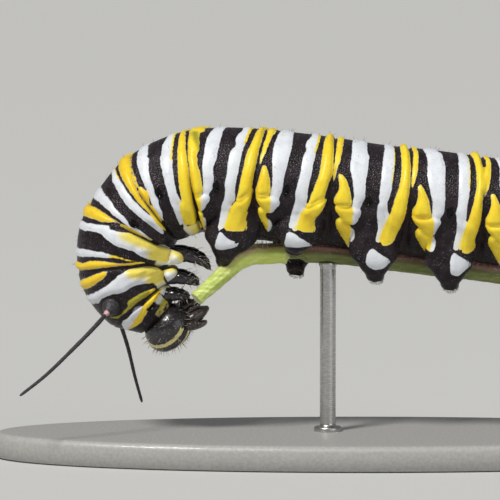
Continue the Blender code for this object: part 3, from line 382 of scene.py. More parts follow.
# Jointed legs: node, ring, side, tip at (x, y, z) in mm as in the solids, and how far the knee stands
# forward, in mm.
LEGS = (
    ("leg_1_left", 0, -1, (-10.72, -0.85, 10.05), 0.10),
    ("leg_1_right", 0, 1, (-10.72, 0.75, 10.05), 0.10),
    ("leg_2_left", 1, -1, (-10.10, -0.95, 10.85), -0.15),
    ("leg_2_right", 1, 1, (-10.15, 0.75, 10.95), -0.15),
    ("leg_3_left", 2, -1, (-9.40, -0.85, 11.75), -0.80),
    ("leg_3_right", 2, 1, (-9.50, 0.65, 11.95), -0.80),
)
# Swellings they grow from, by ring: place along the ring, degrees round, middle (x, z) and distance from the
# middle plane in mm, and half length, half width and height in mm.
LEG_BASES = (
    (0.50, 138.0, (-12.62, 10.38), 0.95, 0.36, 0.62, 0.52),
    (0.46, 146.0, (-12.28, 11.45), 1.35, 0.45, 0.84, 0.84),
    (0.56, 146.0, (-11.92, 12.68), 1.42, 0.52, 0.86, 0.86),
)
# The skin that is drawn out into a swelling: half its length as a share of the ring, half its width in mm,
# how far it turns over at the rim in degrees, over which part it blends in, and where its white ends.
LEG_BASE_LONG, LEG_BASE_REACH, LEG_BASE_TURN, LEG_BASE_BLEND, LEG_BASE_WHITE = 0.50, 0.95, 98.0, 0.62, 0.92
# Legs, in mm: how deep they start in a swelling, how far inward of its middle, and how far they bow outward.
LEG_DEPTH, LEG_BEYOND_BASE, LEG_SPREAD, LEG_COLUMNS = 0.25, 0.25, 0.35, 36
LEG_SHAPE = (
    # share of the way to the tip, half thickness
    (0.00, 0.44), (0.12, 0.46), (0.26, 0.44), (0.34, 0.40), (0.355, 0.365), (0.39, 0.38), (0.47, 0.38),
    (0.57, 0.33), (0.585, 0.285), (0.62, 0.30), (0.70, 0.295), (0.77, 0.245), (0.785, 0.20), (0.82, 0.21),
    (0.88, 0.19), (0.92, 0.15), (0.93, 0.105), (0.95, 0.085), (0.975, 0.05), (1.00, 0.012),
)

# Soft filaments: node, ring, side, place along it, degrees round, and path of the free part in mm.
FILAMENTS = (
    ("filament_front_left", 1, -1, 0.34, 52.0,
     ((-16.10, -3.10, 8.95), (-17.90, -4.75, 7.15), (-19.60, -6.10, 5.60), (-21.00, -7.00, 4.55))),
    ("filament_front_right", 1, 1, 0.34, 52.0,
     ((-15.25, 3.30, 8.30), (-14.75, 4.60, 6.40), (-14.30, 5.50, 4.30), (-13.90, 6.00, 2.75))),
    ("filament_rear_left", 10, -1, 0.42, 46.0,
     ((14.30, -2.75, 17.30), (15.35, -3.45, 18.05), (16.70, -4.10, 18.60))),
    ("filament_rear_right", 10, 1, 0.42, 46.0,
     ((14.28, 2.80, 17.32), (15.25, 3.60, 18.10), (16.50, 4.35, 18.70))),
)
# Share of the way from the spine to the skin where a filament starts, and in mm its radius at the root, how
# much thinner the tip is, the swelling of the root, and the place and width of the painted pinkish highlight
# ring past it.
FILAMENT_DEPTH, FILAMENT_RADIUS, FILAMENT_TAPER = 0.86, 0.140, 0.050
FILAMENT_ROOT, FILAMENT_HIGHLIGHT = 0.44, (1.30, 0.22)
FILAMENT_ROWS, FILAMENT_COLUMNS = 120, 40

# Breathing pores on the left: ring, place along in hundredths, degrees round. The right undoes the lean.
SPIRACLES = ((0, 60, 100), (3, 17, 88), (4, 17, 84), (5, 30, 93), (6, 35, 92), (7, 47, 94), (8, 56, 96),
             (9, 52, 96), (10, 50, 94))
SPIRACLE_HALF, SPIRACLE_COLUMNS, SPIRACLE_LIFT = (0.19, 0.31), 28, 0.03
SPIRACLE_SHAPE = (
    # share of the half size, height in mm
    (1.15, -0.10), (1.13, 0.04), (1.04, 0.09), (0.90, 0.105), (0.76, 0.085), (0.62, 0.045), (0.36, 0.05),
    (0.12, 0.03),
)

# Head capsule: centre ahead of the neck, half sizes forward, up and to the side, as in the solids.
HEAD_AHEAD, HEAD_HALF, HEAD_BACK_CUT = 1.22, (1.42, 1.74, 1.72), 1.07
FACE_FLATTEN, CHIN_CUT = 0.10, 0.12
HEAD_SEAMS = ((0.17, 9.0), (0.05, 22.0))  # grooves along the crown: depth in mm and width in degrees

# Shapes of a hair 1 mm long, so that the node tree's size is a length in mm: path at (x, y, z) and radii.
FINE_HAIR = (((0.0, 0.0, -0.06), (0.0, 0.0, 0.3), (0.03, 0.0, 0.66), (0.10, 0.0, 1.0)),
             (0.030, 0.026, 0.016, 0.003))
THICK_HAIR = (((0.0, 0.0, -0.08), (0.0, 0.0, 0.2), (0.03, 0.0, 0.5), (0.09, 0.0, 0.78), (0.20, 0.0, 1.0)),
              (0.036, 0.032, 0.024, 0.015, 0.003))

# What grows where: name, ground, kind, slot, hairs on a square mm, least and most length as parts of the
# setting, lean and scatter.
HAIRS = (
    ("larva_hairs_skin", "larva_skin", "fine", "horn_black", 1.5, (0.35, 0.75), (0.25, 0.0, 0.0), 0.30),
    ("larva_hairs_head", "larva_head", "thick", "horn_black", 9.0, (0.5, 1.1), (0.0, 0.0, -0.35), 0.35),
    ("stem_hairs", "stem_piece", "stem", "stem_green", 26.0, (0.6, 1.5), (-0.3, 0.0, 0.2), 0.45),
)
LEG_BRISTLES = ("thick", "horn_black", 16.0, (0.5, 1.25), (0.25, 0.0, -0.3), 0.30)
HAIR_SEED, LEG_SEED, HOOK_SEED = 71, 81, 91

# Stem: path in mm, front to rear, near that of the solids, and radii as (x, radius).
STEM_PATH = (
    (-10.29, -2.30, 10.10), (-9.23, -1.75, 11.02), (-8.35, -1.22, 11.82), (-7.82, -0.92, 12.32),
    (-7.15, -0.62, 12.66), (-5.85, -0.20, 12.76), (-3.85, 0.00, 12.82), (-1.35, 0.00, 12.70),
    (2.53, 0.00, 12.23), (8.03, 0.00, 11.60), (12.40, 0.00, 10.91), (17.40, 0.00, 10.23), (21.50, 0.00, 9.60),
)
STEM_RADII = ((-10.29, 0.44), (-9.20, 0.47), (-8.40, 0.55), (-7.30, 0.65), (-4.80, 0.64), (-2.60, 0.62),
              (2.50, 0.63), (8.00, 0.65), (21.50, 0.70))
STEM_BITE_X, STEM_BITE_DEEP = -4.70, 0.25  # where the stem is bitten, and how deep, in mm
STEM_ROWS, STEM_COLUMNS, STEM_RIBS, STEM_RIB_RISE = 520, 72, 9.0, 0.018
STEM_END = ((0.96, 0.02), (0.90, 0.025), (0.70, 0.01), (0.45, -0.02), (0.18, -0.04))  # share, rise in mm

# Stand, as in the solids but for a rounder edge.
BASE_HALF, BASE_HEIGHT, BASE_EDGE = (23.0, 8.5), 1.6, 0.42
BASE_FOOT, BASE_INSETS = ((0.30, 0.0), (0.0, 0.12)), (1.6, 3.5, 6.0, 8.3)  # underside, and flat top
ROD_RADIUS, RODS = 0.50, (("stand_rod_front", -2.10), ("stand_rod_rear", 11.60))
# Rods: radius and height of the collar above the base and of the saddle from the top, which lies in the stem.
ROD_COLLAR = ((0.86, -0.05), (0.86, 0.22), (0.80, 0.30), (ROD_RADIUS, 0.34))
ROD_SADDLE = ((ROD_RADIUS, -0.34), (0.56, -0.22), (0.60, -0.06), (0.56, 0.0))
ROD_INTO_STEM, BASE_COLUMNS, ROD_COLUMNS = 0.10, 192, 48

# Stage: the camera's target in mm, its distance in metres, its height in degrees and its lens in mm.
TARGET, CAMERA_AWAY, CAMERA_RISE, CAMERA_LENS = (-6.975, 0.0, 12.975), 0.25, 4.0, 288.0
FLOOR_RADIUS, WORLD_COLOUR, WORLD_STRENGTH = 6.0, (0.86, 0.88, 0.92, 1.0), 0.21
LIT = (0.0, 0.0, 0.012)  # the point that the lights look at, in metres
# Name, kind, place in metres, angle in radians or size in metres, power and colour.
LIGHTS = (
    ("key_light", "SUN", (-0.20, -0.26, 0.42), 0.24, 2.85, (1.0, 0.985, 0.95)),
    ("fill_light", "AREA", (0.30, -0.30, 0.16), 0.30, 0.35, (0.93, 0.96, 1.0)),
)


# Settings


class LarvaSettings(bpy.types.PropertyGroup):
    fold_depth: bpy.props.FloatProperty(
        name="Fold depth", description="Depth of the folds between rings on the flank, in metres",
        default=0.00034, min=0.0, unit="LENGTH")
    body_rows: bpy.props.IntProperty(
        name="Skin rows", description="Rows of the skin mesh from neck to tail", default=468, min=120,
        max=480)
    body_columns: bpy.props.IntProperty(
        name="Skin columns", description="Columns of the skin mesh round the body", default=204, min=80,
        max=208)
    black: bpy.props.FloatVectorProperty(
        name="Black", description="Colour of the dark skin", subtype="COLOR", size=3,
        default=(0.009, 0.0065, 0.008))
    white: bpy.props.FloatVectorProperty(
        name="White", description="Colour of the white bands", subtype="COLOR", size=3,
        default=(0.80, 0.83, 0.87))
    yellow: bpy.props.FloatVectorProperty(
        name="Yellow", description="Colour of the yellow bands", subtype="COLOR", size=3,
        default=(0.96, 0.73, 0.035))
    bristle_length: bpy.props.FloatProperty(
        name="Bristle length", description="Mean length of the bristles on skin, head and legs, in metres",
        default=0.00042, min=0.0, unit="LENGTH")


class StandSettings(bpy.types.PropertyGroup):
    stem: bpy.props.FloatVectorProperty(
        name="Stem green", description="Colour of the cut stem", subtype="COLOR", size=3,
        default=(0.46, 0.55, 0.11))
    base: bpy.props.FloatVectorProperty(
        name="Base grey", description="Colour of the moulded base", subtype="COLOR", size=3,
        default=(0.44, 0.43, 0.41))
    floor: bpy.props.FloatVectorProperty(
        name="Floor", description="Colour of the studio floor", subtype="COLOR", size=3,
        default=(0.62, 0.62, 0.61))
    hair_length: bpy.props.FloatProperty(
        name="Hair length", description="Mean length of the hairs on the stem, in metres", default=0.00022,
        min=0.0, unit="LENGTH")


# Mathematics


def cubic(t, start, end, leave, arrive):
    """The curve from start to end whose slopes there are leave and arrive, at share t."""
    t2, t3 = t * t, t**3
    return ((2 * t3 - 3 * t2 + 1) * start + (t3 - 2 * t2 + t) * leave
            + (3 * t2 - 2 * t3) * end + (t3 - t2) * arrive)


def smooth_line(value, places, heights):
    """A smooth curve through (places, heights), read at every value of an array."""
    places, heights = np.asarray(places, float), np.asarray(heights, float)
    slopes = np.gradient(heights, places)
    i = np.clip(np.searchsorted(places, value, side="right") - 1, 0, len(places) - 2)
    span = places[i + 1] - places[i]
    t = np.clip((value - places[i]) / span, 0.0, 1.0)
    return cubic(t, heights[i], heights[i + 1], span * slopes[i], span * slopes[i + 1])


def ease(value):
    value = np.clip(value, 0.0, 1.0)
    return value * value * (3.0 - 2.0 * value)


def unit(vectors):
    return vectors / np.maximum(np.linalg.norm(vectors, axis=-1, keepdims=True), 1e-12)


def spine(along):
    """Centre, rearward and back directions and ring length at each place, a ring number plus share."""
    along = np.asarray(along, float)
    i = np.clip(np.floor(along).astype(int), 0, len(LENGTHS) - 1)
    t = (along - i)[:, None]

    def upright(x, z):
        return np.stack([x, np.zeros(len(x)), z], 1)

    h0, h1 = np.radians(FOLDS[i, 2]), np.radians(FOLDS[i + 1, 2])
    reach = LENGTHS[i][:, None]
    centre = cubic(t, upright(FOLDS[i, 0], FOLDS[i, 1]), upright(FOLDS[i + 1, 0], FOLDS[i + 1, 1]),
                   reach * upright(np.cos(h0), np.sin(h0)), reach * upright(np.cos(h1), np.sin(h1)))
    heading = h0 + (h1 - h0) * t[:, 0]
    rearward = upright(np.cos(heading), np.sin(heading))
    return centre, rearward, upright(-rearward[:, 2], rearward[:, 0]), LENGTHS[i]


def spine_at(place):
    """Centre and rearward direction at one place."""
    centre, rearward, _, _ = spine([place])
    return centre[0], rearward[0]


def skin_points(along, around, out=0.0):
    """Plain skin at each place: around is in degrees from the back, positive to the right."""
    centre, _, back, _ = spine(along)
    top, low = smooth_line(along, PLACES, BACK_HEIGHTS), smooth_line(along, PLACES, BELLY_HEIGHTS)
    angle = np.radians(around)
    tall = np.where(np.cos(angle) > 0, top, low)
    wide = WIDTH_RATIO * (top + low) / 2
    reach = back * (np.cos(angle) * tall)[:, None]
    reach[:, 1] += np.sin(angle) * wide
    share = np.clip((along - (TAIL - 1.0) - TAIL_DOME_FROM) / (1.0 - TAIL_DOME_FROM), 0.0, 1.0)
    dome = np.sqrt(np.maximum(1.0 - (share * TAIL_DOME_ROUND) ** 2, 0.0))[:, None]
    return centre + reach * dome + unit(reach) * np.asarray(out)[..., None]


def skin_point(along, around):
    return skin_points(np.array([along]), np.array([around]))[0]


def fall_off(away, width):
    """A smooth bell that is 1 at no distance."""
    return np.exp(-((away / width) ** 2))


def turns(columns):
    """Even angles round a ring, in radians."""
    return 2 * math.pi * np.arange(columns) / columns


def rounded(outline):
    """A smooth closed line through the corners of outline, in four steps from each to the next."""
    steps, corners = 4, np.asarray(outline, float)
    before, here = np.roll(corners, 1, 0), corners
    after, beyond = np.roll(corners, -1, 0), np.roll(corners, -2, 0)
    t = (np.arange(steps) / steps)[:, None, None]
    line = 0.5 * (
        2 * here + (after - before) * t + (2 * before - 5 * here + 4 * after - beyond) * t**2
        + (3 * here - before - 3 * after + beyond) * t**3
    )
    return line.transpose(1, 0, 2).reshape(-1, corners.shape[1])


def inside_distance(x, y, outline):
    """Distance of each point to a closed line, positive inside it."""
    nearest = np.full(x.shape, 1e9)
    inside = np.zeros(x.shape, bool)
    for (ax, ay), (bx, by) in zip(outline, np.roll(outline, -1, 0)):
        dx, dy = bx - ax, by - ay
        length = dx * dx + dy * dy
        if length < 1e-12:
            continue
        t = np.clip(((x - ax) * dx + (y - ay) * dy) / length, 0.0, 1.0)
        nearest = np.minimum(nearest, (x - ax - t * dx) ** 2 + (y - ay - t * dy) ** 2)
        if dy:
            inside ^= ((ay > y) != (by > y)) & (x < ax + (y - ay) * dx / dy)
    return np.where(inside, 1.0, -1.0) * np.sqrt(nearest)


def ripple(x, y, seed):
    """Smooth seeded noise of two coordinates, about -1 to 1, with a wavelength near 1."""
    dice, waves = np.random.default_rng(seed), 7
    total = np.zeros(np.broadcast(x, y).shape)
    for _ in range(waves):
        turn, size, shift = dice.uniform(0, 2 * math.pi), dice.uniform(0.6, 1.7), dice.uniform(0, 2 * math.pi)
        total += np.sin(2 * math.pi * size * (x * math.cos(turn) + y * math.sin(turn)) + shift)
    return total / math.sqrt(waves)


# Meshes


def link_object(name, data):
    made = bpy.data.objects.new(name, data)
    bpy.context.scene.collection.objects.link(made)
    return made


def tube_mesh(name, tubes):
    points, faces = join_tubes(tubes)
    mesh = bpy.data.meshes.new(name)
    mesh.from_pydata((points * MM).tolist(), [], faces)
    return mesh


def add_piece(name, tubes, material, nodes=(), fields=None):
    """Makes a smooth mesh piece from closed tubes in mm, and hides the solids it stands for."""
    mesh = tube_mesh(name, tubes)
    mesh.update()
    for key, values in (fields or {}).items():
        mesh.attributes.new(key, "FLOAT", "POINT").data.foreach_set("value", np.asarray(values, np.float32))
    mesh.materials.append(material)
    face_out(mesh)
    declare(name, mesh, nodes)


def declare(name, mesh, nodes=()):
    """Shows a mesh as a smooth piece of the model, on its one body."""
    mesh.polygons.foreach_set("use_smooth", np.ones(len(mesh.polygons), bool))
    piece = link_object(name, mesh)
    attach(piece, "root")
    if nodes:
        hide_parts(*nodes)


def face_out(mesh):
    made = bmesh.new()
    made.from_mesh(mesh)
    bmesh.ops.recalc_face_normals(made, faces=made.faces)
    made.to_mesh(mesh)
    made.free()


def tube_faces(rows, columns, first):
    """Faces of a tube of rows rings, closed by a centre point at each end that follows the rings."""
    k = np.arange(columns)
    nxt = (k + 1) % columns
    faces = []
    for row in range(rows - 1):
        low, high = first + row * columns, first + (row + 1) * columns
        faces += np.stack([low + k, low + nxt, high + nxt, high + k], 1).tolist()
    start, end = first + rows * columns, first + rows * columns + 1
    faces += np.stack([first + nxt, first + k, np.full(columns, start)], 1).tolist()
    last = first + (rows - 1) * columns
    faces += np.stack([last + k, last + nxt, np.full(columns, end)], 1).tolist()
    return faces


def join_tubes(tubes):
    """Points and faces of several tubes, each given as rings of shape (rows, columns, 3)."""
    points, faces = [], []
    for rings in tubes:
        rows, columns = rings.shape[:2]
        faces += tube_faces(rows, columns, sum(len(p) for p in points))
        points += [rings.reshape(-1, 3), rings[0].mean(0)[None], rings[-1].mean(0)[None]]
    return np.concatenate(points), faces


def spread(block, before=0, after=0):
    """Values for all points of a tube: the block's first and last rings repeated for the rings that were
    added there, and their means at the two closing points."""
    rings = np.concatenate([block[:1].repeat(before, 0), block, block[-1:].repeat(after, 0)])
    return np.append(rings, (block[0].mean(), block[-1].mean()))


def read_shape(shape, shares):
    """The measures of a table at each share, which its first column gives."""
    places, *measures = np.asarray(shape).T
    return np.stack([np.interp(shares, places, measure) for measure in measures], 1)


def fill_steps(shape, steps):
    """The shares in a table's first column, with even steps put in between them."""
    filled = [np.linspace(a[0], b[0], steps, endpoint=False) for a, b in zip(shape, shape[1:])]
    return np.unique(np.concatenate([*filled, [1.0]]))


def bent_path(root, pull, tip, shares, rearward):
    """Points of a curve from root to tip that is drawn towards pull, and its rearward and sideways axes."""
    t = shares[:, None]
    points = root * (1 - t) ** 2 + pull * 2 * t * (1 - t) + tip * t * t
    ahead = unit((pull - root) * (1 - t) + (tip - pull) * t)
    first = unit(rearward - ahead * (ahead @ rearward)[:, None])
    return points, first, np.cross(ahead, first)


def smooth_path(points, count):
    """Count points at even steps along a smooth curve through points, their directions, and its length."""
    points = np.asarray(points, float)
    places = np.concatenate([[0.0], np.cumsum(np.linalg.norm(np.diff(points, axis=0), axis=1))])
    steps = np.linspace(0.0, places[-1], count)
    line = np.stack([smooth_line(steps, places, points[:, k]) for k in range(3)], 1)
    return line, unit(np.gradient(line, axis=0)), places[-1]


def steady_axes(ahead):
    """Two directions square to a path at each of its points, turning as little as they can."""
    axes, axis = [], np.array([0.0, 1.0, 0.0])
    for step in ahead:
        axis = axis - step * axis.dot(step)
        axis /= np.linalg.norm(axis)
        axes.append((axis, np.cross(step, axis)))
    return np.array([a for a, _ in axes]), np.array([b for _, b in axes])


def round_rings(centres, first, second, radii, columns):
    """Rings round centres, with radii as one value or a pair for each, along the two directions."""
    angle = turns(columns)
    radii = np.asarray(radii, float)
    radii = radii if radii.ndim == 2 else np.stack([radii, radii], 1)
    circle = first[:, None] * (np.cos(angle)[None, :, None] * radii[:, 0, None, None])
    return (centres[:, None] + circle
            + second[:, None] * (np.sin(angle)[None, :, None] * radii[:, 1, None, None]))


# Node trees


def add_node(tree, kind, inputs=None, **settings):
    made = tree.nodes.new(kind)
    for key, value in settings.items():
        setattr(made, key, value)
    for key, value in (inputs or {}).items():
        if isinstance(value, bpy.types.NodeSocket):
            tree.links.new(value, made.inputs[key])
        else:
            made.inputs[key].default_value = value
    return made


def math_node(tree, operation, *values):
    return add_node(tree, "ShaderNodeMath", dict(enumerate(values)), operation=operation).outputs[0]


def fade(tree, value, low, high, start=0.0, end=1.0):
    ranged = {"Value": value, "From Min": low, "From Max": high, "To Min": start, "To Max": end}
    return add_node(tree, "ShaderNodeMapRange", ranged, interpolation_type="SMOOTHSTEP").outputs[0]


def multiply(tree, first, second):
    return math_node(tree, "MULTIPLY", first, second)


def add_up(tree, first, second):
    return math_node(tree, "ADD", first, second)


def blend_colours(tree, share, first, second):
    def colour(value):
        return value if isinstance(value, bpy.types.NodeSocket) else (*value, 1.0)

    inputs = {0: share, 6: colour(first), 7: colour(second)}
    return add_node(tree, "ShaderNodeMix", inputs, data_type="RGBA").outputs[2]


def start_material(name, **values):
    """A new Principled material: its tree, its shader and the Object coordinates. Values go to the shader."""
    material = bpy.data.materials.new(name)
    material.use_nodes = True
    tree = material.node_tree
    shader = tree.nodes["Principled BSDF"]
    for key, value in values.items():
        shader.inputs[key.replace("_", " ")].default_value = value
    place = tree.nodes.new("ShaderNodeTexCoord").outputs["Object"]
    return material, tree, shader, place


def noise(tree, place, per_mm, detail=2.0, rough=0.5):
    inputs = {"Vector": place, "Scale": per_mm / MM, "Detail": detail, "Roughness": rough}
    return add_node(tree, "ShaderNodeTexNoise", inputs).outputs[0]


def drawn_noise(tree, place, stretch, per_mm, detail, rough=0.5):
    """Noise that is drawn out along an axis, where stretch is less than 1."""
    mapped = add_node(tree, "ShaderNodeMapping", {"Vector": place, "Scale": stretch}).outputs[0]
    return noise(tree, mapped, per_mm, detail, rough)


def cells(tree, place, per_mm, feature="F1"):
    inputs = {"Vector": place, "Scale": per_mm / MM}
    return add_node(tree, "ShaderNodeTexVoronoi", inputs, feature=feature).outputs[0]


def bump(tree, shader, height, depth_mm, strength):
    inputs = {"Height": height, "Distance": depth_mm * MM, "Strength": strength}
    tree.links.new(add_node(tree, "ShaderNodeBump", inputs).outputs[0], shader.inputs["Normal"])


def colour_shader(tree, shader, tone, rough=None):
    """Links the colour, and the roughness if it varies, to the shader."""
    tree.links.new(tone, shader.inputs["Base Color"])
    if rough is not None:
        tree.links.new(rough, shader.inputs["Roughness"])


def field(tree, name):
    return add_node(tree, "ShaderNodeAttribute", attribute_name=name).outputs["Fac"]


# Skin


def band_lean(along):
    return np.interp(along, BAND_LEAN_AT, BAND_LEAN)


def left_place(along, around):
    """The place on the left flank whose marking a place on the right flank repeats."""
    turn = np.radians(np.abs(around))
    return np.where(around > 0, along - 2.0 * band_lean(along) * np.sin(turn), along)


def marking_fields(along, around, from_side=False):
    """Distances in mm inside the white markings, inside the yellow ones of even and of odd rings, which stay
    apart so that neighbours don't merge, and inside the tints in parts of their softness. Also the rise of
    the skin. From the side, around is a height below the spine in mm, for points that stand off the plain
    body."""
    fields = {key: np.full(along.shape, -limit) for key, limit in FIELD_LIMITS.items()}
    rise = np.zeros(along.shape)
    for ring, kind, measure, outline in all_markings():
        reach = LENGTHS[ring]
        outline = np.reshape(outline, (-1, 2)) * (0.01, 1.0) + (ring, 0.0)
        height = BACK_HEIGHTS[ring + 1] + BELLY_HEIGHTS[ring + 1]
        sweep = math.pi / 180 * HALF_GIRTH * min(1.0, height / FULL_HEIGHTS)
        if from_side:
            sweep = 1.0
            down = smooth_line(outline[:, 0], PLACES, BELLY_HEIGHTS)
            outline[:, 1] = -np.cos(np.radians(outline[:, 1])) * down
        line = rounded(outline * (reach, sweep))
        x, y = along * reach, around * sweep
        (left, low), (right, high) = line.min(0) - MARK_REACH, line.max(0) + MARK_REACH
        near = (x > left) & (x < right) & (y > low) & (y < high)
        if not near.any():
            continue
        inside = inside_distance(x[near], y[near], line)
        if kind in ("white", "yellow"):
            key = kind if kind == "white" else ("even", "odd")[ring % 2]
            share = np.clip(inside / EDGE_WIDTH, 0.0, 1.0)
            rise[near] = np.maximum(rise[near], (measure * EDGE_SCALE + EDGE_LEAST) * share * (2.0 - share))
        else:
            key = "lemon" if kind == "tint" and measure > LEMON_FROM else kind
            inside = inside / measure
        fields[key][near] = np.maximum(fields[key][near], inside).clip(max=FIELD_LIMITS[key])
    return fields, rise


def all_markings():
    """Every marking, and again for each ring that shares it."""
    for ring, *marking in MARKINGS + REAR_MARKINGS:
        for copy in (ring, *(other for other, source in SHARED_RINGS.items() if source == ring)):
            yield copy, *marking


def fold_relief(along, around, depth):
    """How deep the folds between rings lie, in mm, and how dark their groove is painted, 0 to 1: partly the
    brown skin between the rings, partly painted shade in the groove.
    """
    low, dark = np.zeros(along.shape), np.zeros(along.shape)
    flank = ease((around - 62.0) / 45.0)
    keel = 1.0 - 0.85 * ease((around - KEEL_FROM) / KEEL_OVER)
    for k, (before, behind) in enumerate(zip(LENGTHS, LENGTHS[1:]), 1):
        line = k + smooth_line(around, FOLD_ANGLES, FOLD_BOW[k])
        away = np.abs(along - line) * (before + behind) / 2
        full = min(min(before, behind) / FULL_RING, 1.0)
        wide = (0.10 + 0.17 * flank) * (0.5 + 0.5 * full)
        low -= depth * keel * (0.38 + 0.62 * flank) * (0.45 + 0.55 * full) * fall_off(away, wide)
        dark = np.maximum(dark, fall_off(away, 0.05 + 0.05 * flank) * (0.45 + 0.55 * flank))
    return low, dark


def leg_base_axes(ring, side):
    """Middle of the swelling that a leg grows from, and its outward, rearward and upward directions."""
    place, _, middle, apart, *_ = LEG_BASES[ring]
    centre, rearward = spine_at(ring + place)
    middle = np.array([middle[0], side * apart, middle[1]])
    out = unit(middle - centre)
    ahead = unit(rearward - out * (rearward @ out))
    return middle, out, ahead, np.cross(out, ahead) * side


def blend_in(points, chosen, wanted, share):
    """Moves the chosen points to the wanted places, softly by share."""
    weight = ease(share)[:, None]
    points[chosen] = points[chosen] * (1.0 - weight) + wanted * weight


def draw_out_leg_bases(points, along, around, fields):
    """Swells the skin round the roots of the jointed legs into soft white domes."""
    for _, ring, side, *_ in LEGS:
        place, turn_round, _, _, half_length, half_width, height = LEG_BASES[ring]
        x = (along - ring - place) / LEG_BASE_LONG
        y = (side * around - turn_round) * math.pi / 180 * BELLY_HEIGHTS[ring + 1] / LEG_BASE_REACH
        away = np.hypot(x, y)
        inside = np.flatnonzero(away < 1.0)
        away, turn = away[inside], np.arctan2(y[inside], x[inside])
        middle, out, ahead, up = leg_base_axes(ring, side)
        lift = away * math.radians(LEG_BASE_TURN)
        dome = middle + out * (height * np.cos(lift))[:, None]
        dome = dome + ahead * (half_length * np.cos(turn) * np.sin(lift))[:, None]
        dome = dome - up * (half_width * np.sin(turn) * np.sin(lift))[:, None]
        blend_in(points, inside, dome, (1.0 - away) / LEG_BASE_BLEND)
        white = np.minimum((LEG_BASE_WHITE - away) * 0.7, FIELD_LIMITS["white"])
        fields["white"][inside] = np.maximum(fields["white"][inside], white)


def belly_sag(along, around):
    """Slack of the belly between the prolegs, in mm."""
    reach = ease((along - SAG_ALONG[0]) / 0.8) * ease((SAG_ALONG[1] - along) / 0.8)
    return SAG * reach * ease((around - SAG_FROM) / 26.0)


def proleg_path(ring, side, tip, shares):
    """Points of a proleg's middle line, and its rearward and sideways axes."""
    centre, rearward = spine_at(ring + PROLEG_ALONG)
    skin = skin_point(ring + PROLEG_ALONG, side * PROLEG_ROUND)
    root = centre + (skin - centre) * PROLEG_ROOT_DEPTH
    tip = np.asarray(tip)
    bulge = CLASPER_BULGE if ring == CLASPER_RING else PROLEG_BULGE
    pull = np.array([(tip[0] + skin[0]) / 2, tip[1] + side * bulge,
                     skin[2] + (tip[2] - skin[2]) * PROLEG_DROP])
    return bent_path(root, pull, tip, shares, rearward)


def draw_out_prolegs(points, along, around):
    """Draws the sockets on the belly out into prolegs. Gives each point's share of the way, and its leg."""
    share_out, leg_index = np.zeros(len(points)), np.full(len(points), -1)
    for index, (_, ring, side, tip) in enumerate(PROLEGS):
        scale = CLASPER_SCALE if ring == CLASPER_RING else 1.0
        radius = (BACK_HEIGHTS[ring + 1] + BELLY_HEIGHTS[ring + 1]) / 2
        x = (along - ring - PROLEG_ALONG) * LENGTHS[ring] / (SOCKET_HALF[0] * scale)
        y = (side * around - SOCKET_ROUND) * math.pi / 180 * radius / (SOCKET_HALF[1] * scale)
        away = np.hypot(x, y)
        inside = np.flatnonzero(away < 1.0)
        away, turn = away[inside], np.arctan2(y[inside], x[inside])
        share = SOCKET_SHARE + (SOLE_SHARE - SOCKET_SHARE) * (1.0 - away) ** 0.9
        middle, first, second = proleg_path(ring, side, tip, share)
        out = skin_point(ring + PROLEG_ALONG, side * (SOCKET_ROUND + 20.0))
        out -= skin_point(ring + PROLEG_ALONG, side * (SOCKET_ROUND - 20.0))
        toward = np.where(second @ unit(out) > 0, 1.0, -1.0)[:, None]
        halves = read_shape(PROLEG_SHAPE, share) * scale
        # The socket is longer towards the head, and the sole narrower than in the solid.
        halves[:, 0] *= 1.0 + 0.26 * ease((0.62 - share) / 0.3) * ease(-np.cos(turn) / 0.7)
        halves[:, 0] *= 1.0 - 0.13 * ease((share - 0.50) / 0.2) + 0.22 * ease((share - 0.82) / 0.1)
        if ring == PROLEG_RINGS[0]:
            rear = PROLEG_TRIM * ease(np.cos(turn) / 0.7)
            halves[:, 0] *= 1.0 + rear * (ease((0.55 - share) / 0.15) - ease((share - 0.55) / 0.15))
        middle = middle - first * (PROLEG_BACK * scale * np.sin(math.pi * share))[:, None]
        # Soft rings of flesh round the leg, and the rounded sole.
        halves *= (1.0 + FLESH_RING * np.sin(share * FLESH_RINGS) * ease((share - 0.45) / 0.2))[:, None]
        halves *= (1.0 - (1.0 - np.minimum(away / SOLE_EDGE, 1.0)) ** 3)[:, None] ** (1 / 3)
        leg = middle + first * (halves[:, :1] * np.cos(turn)[:, None])
        leg += second * toward * (halves[:, 1:] * np.sin(turn)[:, None])
        blend_in(points, inside, leg, (1.0 - away) / SOCKET_BLEND)
        share_out[inside] = share
        leg_index[inside] = index
    return share_out, leg_index


def skin_steps(low, high, count, dense):
    """Count steps from low to high, closer together where dense rows (from, to, weight) ask for it."""
    fine = np.linspace(low, high, 4000)
    weight = np.ones(len(fine))
    soft = 0.06 * (high - low) / TAIL
    for start, end, extra in dense:
        weight += extra * ease((fine - start) / soft) * ease((end - fine) / soft)
    total = np.concatenate([[0.0], np.cumsum((weight[1:] + weight[:-1]) / 2)])
    return np.interp(np.linspace(0.0, total[-1], count), total, fine)


def skin_grid(rows, columns):
    """Places along the body and round it, one for each point of the skin mesh."""
    dense = [(k + 0.26, k + 0.99, 0.5) for k in PROLEG_RINGS] + [(CLASPER_RING + 0.2, TAIL, 0.9)]
    along = skin_steps(0.0, TAIL, rows, dense)
    dense = [(-178.0, -12.0, 0.45), (-172.0, -98.0, 0.65), (104.0, 172.0, 0.45)]
    return along, skin_steps(-180.0, 180.0, columns + 1, dense)[:-1]


